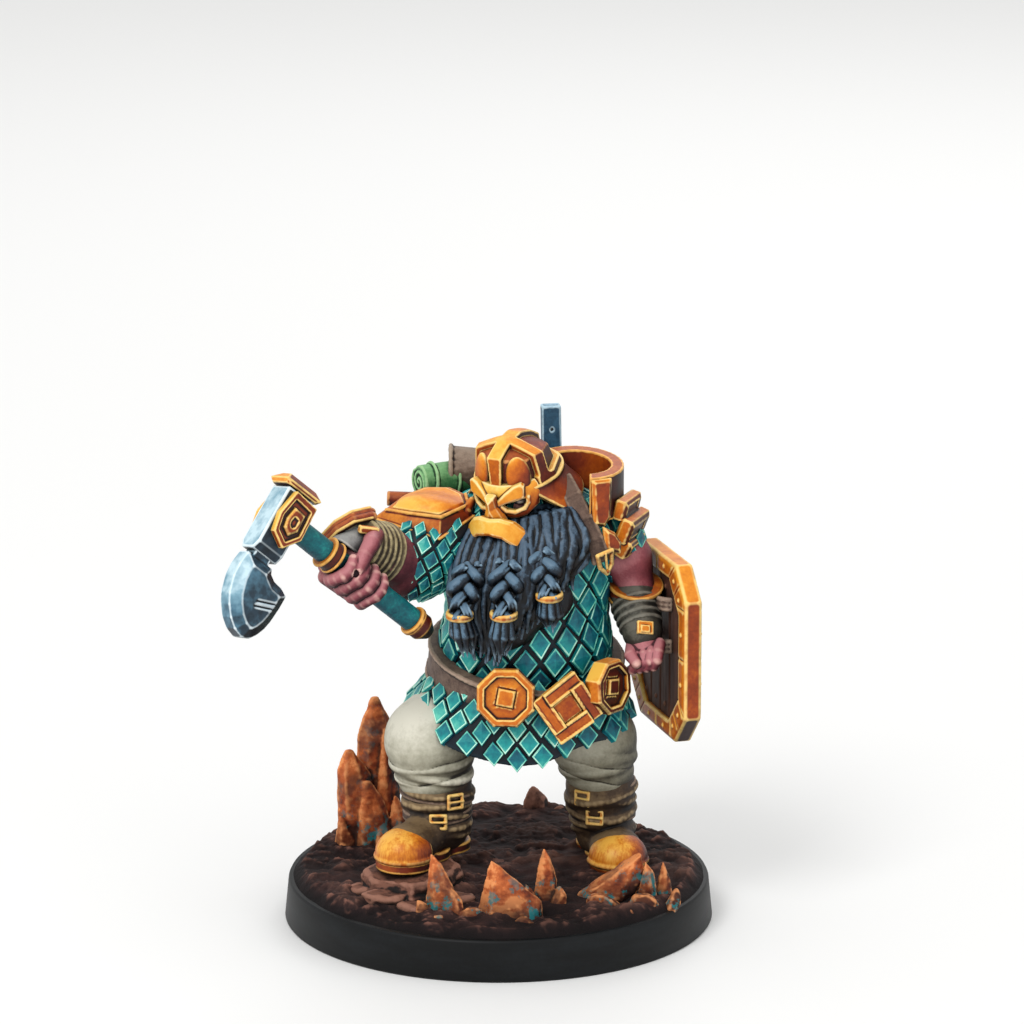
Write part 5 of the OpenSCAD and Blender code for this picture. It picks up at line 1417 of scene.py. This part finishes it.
def hammer():
    haft = Clay((-1.6, -1.6, -7.0), (1.6, 1.6, 8.8), 0.07, HAFT)
    haft.join(limb((0, 0, -6.3), (0, 0, 6.4), 0.88), 0)
    piece(haft.mesh("haft_wood", lambda p, n: 0.03 * (rough_noise(p, 0.7, 1, 3) - 0.5)), HAFT_PAINT, "haft_paint", "hammer_haft")
    fit = Clay((-1.7, -1.7, -3.6), (1.7, 1.7, 9.2), 0.055, HAFT)
    fit.join(drum((0, 0, -3.0), (0, 0, -2.1), 1.12, 0.08), 0.02).join(drum((0, 0, -3.05), (0, 0, -2.85), 1.26, 0.06), 0.02)
    fit.join(drum((0, 0, -2.25), (0, 0, -2.05), 1.26, 0.06), 0.02)
    fit.join(drum((0, 0, 6.1), (0, 0, 6.5), 1.15, 0.08), 0.02).join(drum((0, 0, 6.5), (0, 0, 7.2), 1.0, 0.1), 0.02)
    fit.join(drum((0, 0, 7.1), (0, 0, 8.0), 1.05, 0.1, 0.45), 0.02)
    piece(fit.mesh("haft_fittings"), GOLD_DEEP, "gold_paint", "hammer_fittings")

    steel = Clay((-2.4, -1.6, -1.4), (4.0, 1.6, 2.0), 0.06, HAMMER)
    steel.join(brick((0.7, 0, 0.3), (2.6, 1.1, 1.2), edge=0.05))
    for s in (-1, 1):
        steel.cut(brick((3.5, 1.15 * s, 0.3), (0.6, 0.5, 2), turn(0, 0, -35 * s), 0.02), 0.02)
    piece(steel.mesh("steel_block"), STEEL, "steel_paint", "hammer_block")
    beak = Clay((3.0, -1.7, -1.7), (9.9, 1.7, 4.4), 0.06, HAMMER)
    outline = [(0, -0.9), (1.1, -1.05), (2.1, -0.98), (3.3, -0.6), (4.0, -0.15), (4.7, 0.5), (5.2, 1.25), (5.4, 2.1), (5.15, 2.65),
               (4.6, 3.05), (3.9, 3.35), (3.2, 3.5), (2.0, 3.6), (1.0, 3.6), (0.7, 2.9), (0.65, 2.2), (0.35, 1.65), (0, 1.5)]
    beak.join(slab(outline, (3.65, 0, 0), np.eye(3), 2.3, 0.04, bevel=0.75, slope=0.75), 0)
    beak.join(brick((3.45, 0, 0.3), (0.5, 0.65, 0.75)), 0.03)
    for x in (6.0, 6.4):
        for s in (-1, 1):
            beak.cut(brick((x, 1.18 * s, 2.3), (0.06, 0.12, 1.0), turn(0, -22, 0), 0.02), 0.02)
    piece(beak.mesh("steel_beak"), STEEL, "steel_paint", "hammer_beak")

    plaque = Clay((-2.4, -2.1, -1.4), (3.0, 2.1, 2.5), 0.05, HAMMER)
    outline = [(-1.8, -0.4), (-1.6, 1.7), (1, 1.85), (2.3, 0.8), (1.6, -0.5), (0.2, -0.8)]
    mid = (0.3, 0.6)

    def shrunk(amount):
        return [(mid[0] + (x - mid[0]) * amount, mid[1] + (z - mid[1]) * amount) for x, z in outline]
    for s in (-1, 1):
        plaque.join(slab(outline, (0, 1.35 * s, 0), np.eye(3), 0.6, 0.04), 0)
        plaque.cut(slab(shrunk(0.74), (0, 1.68 * s, 0), np.eye(3), 0.5, 0.03), 0.02)
        plaque.join(slab(shrunk(0.5), (0, 1.5 * s, 0), np.eye(3), 0.44, 0.04, bevel=0.12, slope=0.8), 0.02)
        plaque.cut(slab(shrunk(0.2), (0, 1.76 * s, 0), np.eye(3), 0.3, 0.03), 0.02)
    piece(plaque.mesh("hammer_side_plaques"), GOLD, "gold_paint", "hammer_plaques")
    cap = Clay((-3.6, -1.8, -2.0), (-1.4, 1.8, 2.6), 0.05, HAMMER)
    cap.join(crystal([(-2.0, y, 0.3 + z) for y, z in ((-0.9, -1.5), (0.9, -1.5), (1.15, -1.2), (1.15, 1.2), (0.9, 1.5), (-0.9, 1.5),
                                                      (-1.15, 1.2), (-1.15, -1.2))]
                     + [(-2.35, y, 0.3 + z) for y, z in ((-1.2, -1.7), (1.2, -1.7), (1.2, 1.7), (-1.2, 1.7))]
                     + [(-2.9, y, 0.3 + z) for y, z in ((-0.5, -1.3), (0.5, -1.3), (0.5, 1.3), (-0.5, 1.3))], 0.03), 0)
    piece(cap.mesh("hammer_top_cap"), GOLD, "gold_paint", "hammer_cap")


# ---------------------------------------------------------------- left arm and shield

def left_arm():
    arm = Clay((6.6, -4, 22.0), (13, 3.4, 31), MEDIUM)
    arm.join(limb((8.7, 0.3, 29.0), (9.6, 0.0, 27.6), 1.75, 1.75), 0.3).join(egg((9.4, -0.5, 27.3), (1.7, 1.5, 1.6)), 0.4)
    arm.join(limb((9.8, -0.2, 26.6), (10.1, -0.6, 24.9), 1.55, 1.5), 0.4)
    piece(arm.mesh("left_arm_skin"), SKIN, "skin_paint", "left_arm")
    at = middle("left_cuff")
    cuff = Clay(at - 2.6, at + 2.6, 0.06)
    way = turn(18, 4, 0) @ np.array((0, 0, 1.0))
    cuff.join(drum(at - way * 0.6, at + way * 0.6, 1.95, 0.12), 0).join(drum(at - way * 0.62, at - way * 0.35, 2.08, 0.08), 0.02)
    cuff.join(drum(at + way * 0.35, at + way * 0.62, 2.08, 0.08), 0.02)
    piece(cuff.mesh("left_cuff_band"), GOLD_DEEP, "gold_paint", "left_cuff")
    glove = Clay((7.6, -5.2, 20.4), (13, 2.4, 25.6), 0.08)
    glove.join(limb((10.0, -0.8, 24.5), (10.6, -2.6, 22.6), 1.8, 1.5), 0.3)
    for k in range(4):
        t = 0.15 + 0.22 * k
        c = np.array((10.0, -0.8, 24.5)) * (1 - t) + np.array((10.6, -2.6, 22.6)) * t
        way = np.array((0.6, -1.8, -1.9)) / 2.68
        glove.join(drum(c - way * 0.12, c + way * 0.12, 1.92 - 0.3 * t, 0.1), 0.12)
    piece(glove.mesh("left_glove_leather", lambda p, n: 0.08 * (rough_noise(p, 0.8, 3, 3) - 0.5)), GLOVE, "glove_paint", "left_glove")
    plate = Clay((9.6, -5.4, 21.6), (12.6, -2.0, 24.6), 0.05)
    plate.join(brick((10.75, -3.75, 23.2), (0.62, 0.2, 0.5), turn(-30, 8, 12), 0.06), 0.02)
    plate.join(brick((10.75, -3.9, 23.15), (0.36, 0.2, 0.28), turn(-30, 8, 12), 0.05), 0.02)
    piece(plate.mesh("left_glove_plate"), GOLD, "gold_paint")
    hand = Clay((8.4, -6.0, 18.8), (13.2, -0.6, 23.0), 0.065)
    hand.join(limb((10.7, -2.7, 22.2), (10.9, -3.2, 21.2), 1.3, 1.15), 0.3)
    for i in range(4):
        root = np.array((11.7 - 0.5 * i, -4.35 + 0.12 * i, 21.5 - 0.12 * i))
        path = [root, root + (-0.1, -0.35, -0.5), root + (-0.35, -0.1, -1.05), root + (-0.5, 0.45, -1.2)]
        hand.rope([root + (0.1, 0.8, 0.4)] + path, [0.5, 0.46, 0.42, 0.38, 0.34], 0.05)
    hand.rope([np.array(p) for p in ((9.9, -3.0, 21.6), (9.7, -4.1, 21.2), (10.1, -4.8, 20.8))], [0.55, 0.48, 0.4], 0.08)
    piece(hand.mesh("left_fist"), SKIN, "skin_paint", "left_hand")


def shield_outline(inset, w=6.3, h=6.75, c=2.3):
    w, h = w - inset, h - inset
    return [(w, h - c - 0.8), (w - c, h), (-w + c, h), (-w, h - c), (-w, -h + c), (-w + c, -h), (w - c, -h), (w, -h + c)]


def shield():
    """In the shield's frame its outer face looks along +X, so slabs are turned to lie in that plane."""
    lie = turn(0, 0, 90)   # a slab's own Y becomes -X, and its own X becomes Y
    low, high = (-1.4, -6.8, -7.4), (1.9, 6.8, 7.4)
    board = Clay(low, high, 0.1, SHIELD)
    board.join(slab(shield_outline(0.75), (0, 0, 0), lie, 0.8, 0.03), 0)
    for i in range(-2, 3):
        for s in (-1, 1):
            board.cut(brick((0.42 * s, 2.1 * i, 0), (0.12, 0.09, 8)), 0.08)
    for i in range(-2, 3):
        for z in (-4.6, 4.4):
            board.join(egg((-0.42, 2.1 * i + 1.0, z), (0.12, 0.2, 0.2)), 0.02)
    grain = lambda p, n: 0.07 * (rough_noise(p * np.array((1, 1, 0.25)), 0.6, 3, 3) - 0.5)
    piece(board.mesh("shield_planks", grain), BOARD, "board_paint", "shield_board")
    rim = Clay(low, high, 0.08, SHIELD)
    rim.join(slab(shield_outline(0), (0, 0, 0), lie, 1.5, 0.1, bevel=0.35, slope=0.4), 0)
    rim.cut(slab(shield_outline(1.3), (0, 0, 0), lie, 3, 0.02), 0.03)
    corners = [np.array((0, x, z)) for x, z in shield_outline(0.65)]
    for p, q in zip(corners, corners[1:] + corners[:1]):
        for t in (0.0, 0.5):
            c = p + (q - p) * t
            turn_by = math.degrees(math.atan2(q[2] - p[2], q[1] - p[1]))
            for s in (-1, 1):
                rim.cut(brick(c + np.array((0.75 * s, 0, 0)), (0.1, 0.05, 1.0), turn(turn_by, 0, 0)), 0.02)
            rim.join(egg(p + (q - p) * (t + 0.25) + np.array((-0.72, 0, 0)), (0.16, 0.2, 0.2)), 0.02)
            rim.join(egg(p + (q - p) * (t + 0.25) + np.array((0.72, 0, 0)), (0.16, 0.2, 0.2)), 0.02)
    for x, r, h in ((0.5, 2.3, 0.35), (0.75, 1.6, 0.5)):
        rim.join(slab(ring_points(r, 8), (x + h / 2, 0, 0), lie, h, 0.1, bevel=0.4), 0.02)
    rim.join(egg((1.1, 0, 0), (0.6, 0.95, 0.95)), 0.05)
    piece(rim.mesh("shield_border"), GOLD, "gold_paint", "shield_rim")
    grip = Clay((-2.6, -4, -4.4), (0.2, 4, 4.4), 0.09, SHIELD)
    for z in (3.4, 0.2):
        points = [np.array((-0.5 - 1.0 * math.sin(a), 2.2 * math.cos(a) - 0.4, z)) for a in np.linspace(0, math.pi, 12)]
        for lift in (-0.35, 0, 0.35):
            grip.rope([p + np.array((0, 0, lift)) for p in points], 0.2, 0.12)
    piece(grip.mesh("shield_straps"), LEATHER, "board_paint")


# ---------------------------------------------------------------- pack

def pack():
    bag = Clay((-4.6, 3.4, 21.6), (7.0, 9.0, 33.4), 0.11)
    bag.join(brick((1.2, 5.9, 27.0), (4.4, 2.1, 4.6), turn(4, 0, 0), 1.6), 0.3)
    bag.join(egg((1.2, 6.0, 24.4), (4.9, 2.5, 2.4)), 0.8)
    bag.join(brick((1.2, 6.5, 29.6), (4.6, 2.0, 1.9), turn(6, 0, 0), 0.9), 0.1)
    for x in (-1.4, 3.8):
        path = [np.array((x, 4.6 + 3.95 * math.sin(a), 27.6 + 4.5 * math.cos(a))) for a in np.linspace(0.2, 2.9, 16)]
        for k in (-0.35, 0, 0.35):
            bag.rope([p + np.array((k, 0, 0)) for p in path], 0.22, 0.12)
    sag = lambda p, n: 0.35 * (rough_noise(p, 3.0, 5, 2) - 0.5) + 0.08 * (rough_noise(p, 0.8, 2, 3) - 0.5)
    piece(bag.mesh("pack_bag", sag), LEATHER, "belt_paint", "backpack")
    clasps = Clay((-3, 6.6, 24.4), (5.4, 9.4, 29), 0.06)
    for x in (-1.4, 3.8):
        corners = [(-0.55, 0, -0.55), (0.55, 0, -0.55), (0.55, 0, 0.55), (-0.55, 0, 0.55), (-0.55, 0, -0.55)]
        clasps.rope([np.array(c) + (x, 8.78, 26.8) for c in corners], 0.15, 0.03)
        clasps.rope([np.array((x, 8.85, 27.4)), np.array((x, 8.9, 26.1))], 0.1, 0.03)
    piece(clasps.mesh("pack_clasps"), GOLD, "gold_paint")

    centre = middle("blanket_roll")
    yaw = turn(0, 0, 24)
    roll_at = (yaw, np.array((-2.2, centre[1] + 0.2, centre[2])))
    green = Clay((-6, -2.2, -2.2), (1.2, 2.2, 2.2), 0.065, roll_at)
    left = -4.0
    green.join(limb((left, 0, 0), (0.2, 0, 0), 1.27, 1.35), 0.1)
    green.cut(brick((left - 3.0, 0, 0), (3.0, 3, 3)), 0.05)
    spiral = [np.array((left + 0.02, (0.16 + 0.16 * a / 2) * math.cos(a), (0.16 + 0.16 * a / 2) * math.sin(a)))
              for a in np.linspace(0, 4.2 * math.pi, 60)]
    green.rope(spiral, 0.15, 0.04)
    for x in (-3.1, -1.3):
        loop = [np.array((x + 0.1 * math.sin(a), 1.36 * math.cos(a), 1.36 * math.sin(a))) for a in np.linspace(0, 2 * math.pi, 26)]
        green.rope(loop, 0.13, 0.03)
    folds = lambda p, n: 0.12 * (rough_noise(p * np.array((0.6, 1.4, 1.4)), 1.0, 2, 3) - 0.5)
    piece(green.mesh("green_blanket", folds), GREEN, "green_paint", "blanket_roll")
    cloth = Clay((-4.6, 3.0, 30.4), (5.4, 8.0, 35.4), 0.075)
    cloth.join(drum((-3.7, 5.4, 32.95), (4.4, 5.4, 32.6), 1.72, 0.35, 1.3), 0.1)
    cloth.rope([np.array((-3.55, 5.4 + 1.72 * math.cos(a), 32.95 + 1.72 * math.sin(a))) for a in np.linspace(0, 2 * math.pi, 30)], 0.17, 0.08)
    cloth.cut(egg((-3.9, 5.4, 32.95), (0.5, 1.2, 1.2)), 0.2)
    for x in (-1.2, 2.2):
        cloth.rope([np.array((x, 5.4 + 1.62 * math.cos(a), 32.85 + 1.62 * math.sin(a))) for a in np.linspace(0, 2 * math.pi, 30)], 0.2, 0.1)
    pleats = lambda p, n: 0.14 * (rough_noise(p * np.array((0.4, 1.8, 1.8)), 1.0, 4, 3) - 0.5)
    piece(cloth.mesh("brown_cloth_roll", pleats), CLOTH, "cloth_paint", "cloth_roll")
    rod = Clay((-9.0, 3.4, 29.8), (-1.6, 5.6, 32.2), 0.065)
    rod.join(drum((-8.3, 4.4, 30.9), (-2.3, 4.4, 30.7), 0.55, 0.08), 0).cut(egg((-8.4, 4.4, 30.9), (0.22, 0.3, 0.3)), 0.05)
    piece(rod.mesh("wooden_rod"), RED_BROWN, "red_brown_paint", "pack_rod")
    low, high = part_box("tool_handle")
    low, high = np.array(low) / MM, np.array(high) / MM
    bar = Clay(low - 0.4, high + 0.4, 0.065)
    at = (turn(0, -1, 8), np.array((4.0, 6.0, 30.5)))
    bar.join(posed(brick((0, 0, 3.6), (0.72, 0.52, 3.6), edge=0.1), at), 0)
    bar.cut(posed(brick((0.1, -0.9, 7.5), (1.4, 0.5, 0.5), turn(42, 0, 0), 0.02), at), 0.02)
    bar.cut(posed(drum((0, -1.0, 5.4), (0, 1.0, 5.4), 0.12, 0.02), at), 0.02)
    piece(bar.mesh("steel_tool_handle"), BLUE_STEEL, "blue_steel_paint", "tool_handle")


# ---------------------------------------------------------------- stage, lights and camera

def stage():
    bm = bmesh.new()
    bmesh.ops.create_grid(bm, x_segments=1, y_segments=1, size=1.2)
    data = bpy.data.meshes.new("floor")
    bm.to_mesh(data)
    bm.free()
    floor = bpy.data.objects.new("floor", data)
    bpy.context.scene.collection.objects.link(floor)
    n = Nodes("floor_paper")
    data.materials.append(n.finish(colour("#f4f4f3"), 0.9, 0.1))
    world = bpy.data.worlds.new("studio")
    world.use_nodes = True
    world.node_tree.nodes["Background"].inputs[0].default_value = (1, 1, 1, 1)
    world.node_tree.nodes["Background"].inputs[1].default_value = 0.8
    bpy.context.scene.world = world
    for name, at, power, size in (("key", (-0.16, -0.26, 0.34), 0.75, 0.16), ("fill", (0.3, -0.25, 0.16), 0.12, 0.25),
                                  ("back", (0.08, 0.3, 0.26), 0.25, 0.2)):
        light = bpy.data.lights.new(name, "AREA")
        light.energy, light.size = power, size
        lamp = bpy.data.objects.new(name, light)
        lamp.location = at
        lamp.rotation_euler = (Vector((0, 0, 0.018)) - Vector(at)).to_track_quat("-Z", "Y").to_euler()
        bpy.context.scene.collection.objects.link(lamp)
    bpy.context.scene.view_settings.view_transform = "Standard"


def camera():
    """Level with the photographer: 400 mm off, looking down by 14.6 degrees."""
    away, tilt, aim, focal = 0.4, math.radians(14.6), Vector((0.001, 0, 0.031)), 5433 / 1024
    data = bpy.data.cameras.new("camera")
    data.sensor_width = 36
    data.lens = 36 * focal
    data.clip_start, data.clip_end = 0.01, 10
    view = bpy.data.objects.new("camera", data)
    view.location = aim + Vector((0, -math.cos(tilt), math.sin(tilt))) * away
    view.rotation_euler = (math.radians(90) - tilt, 0, 0)
    bpy.context.scene.collection.objects.link(view)
    bpy.context.scene.camera = view


# ---------------------------------------------------------------- the whole figure

camera()
stage()
base_disc()
ground()
rocks()
legs()
coat()
sleeves()
belt()
buckles()
head_and_face()
helm()
beard()
shoulders()
right_arm()
hammer()
left_arm()
shield()
pack()

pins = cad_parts["foot_pins"]
pins.data.materials.clear()
pins.data.materials.append(STEEL)
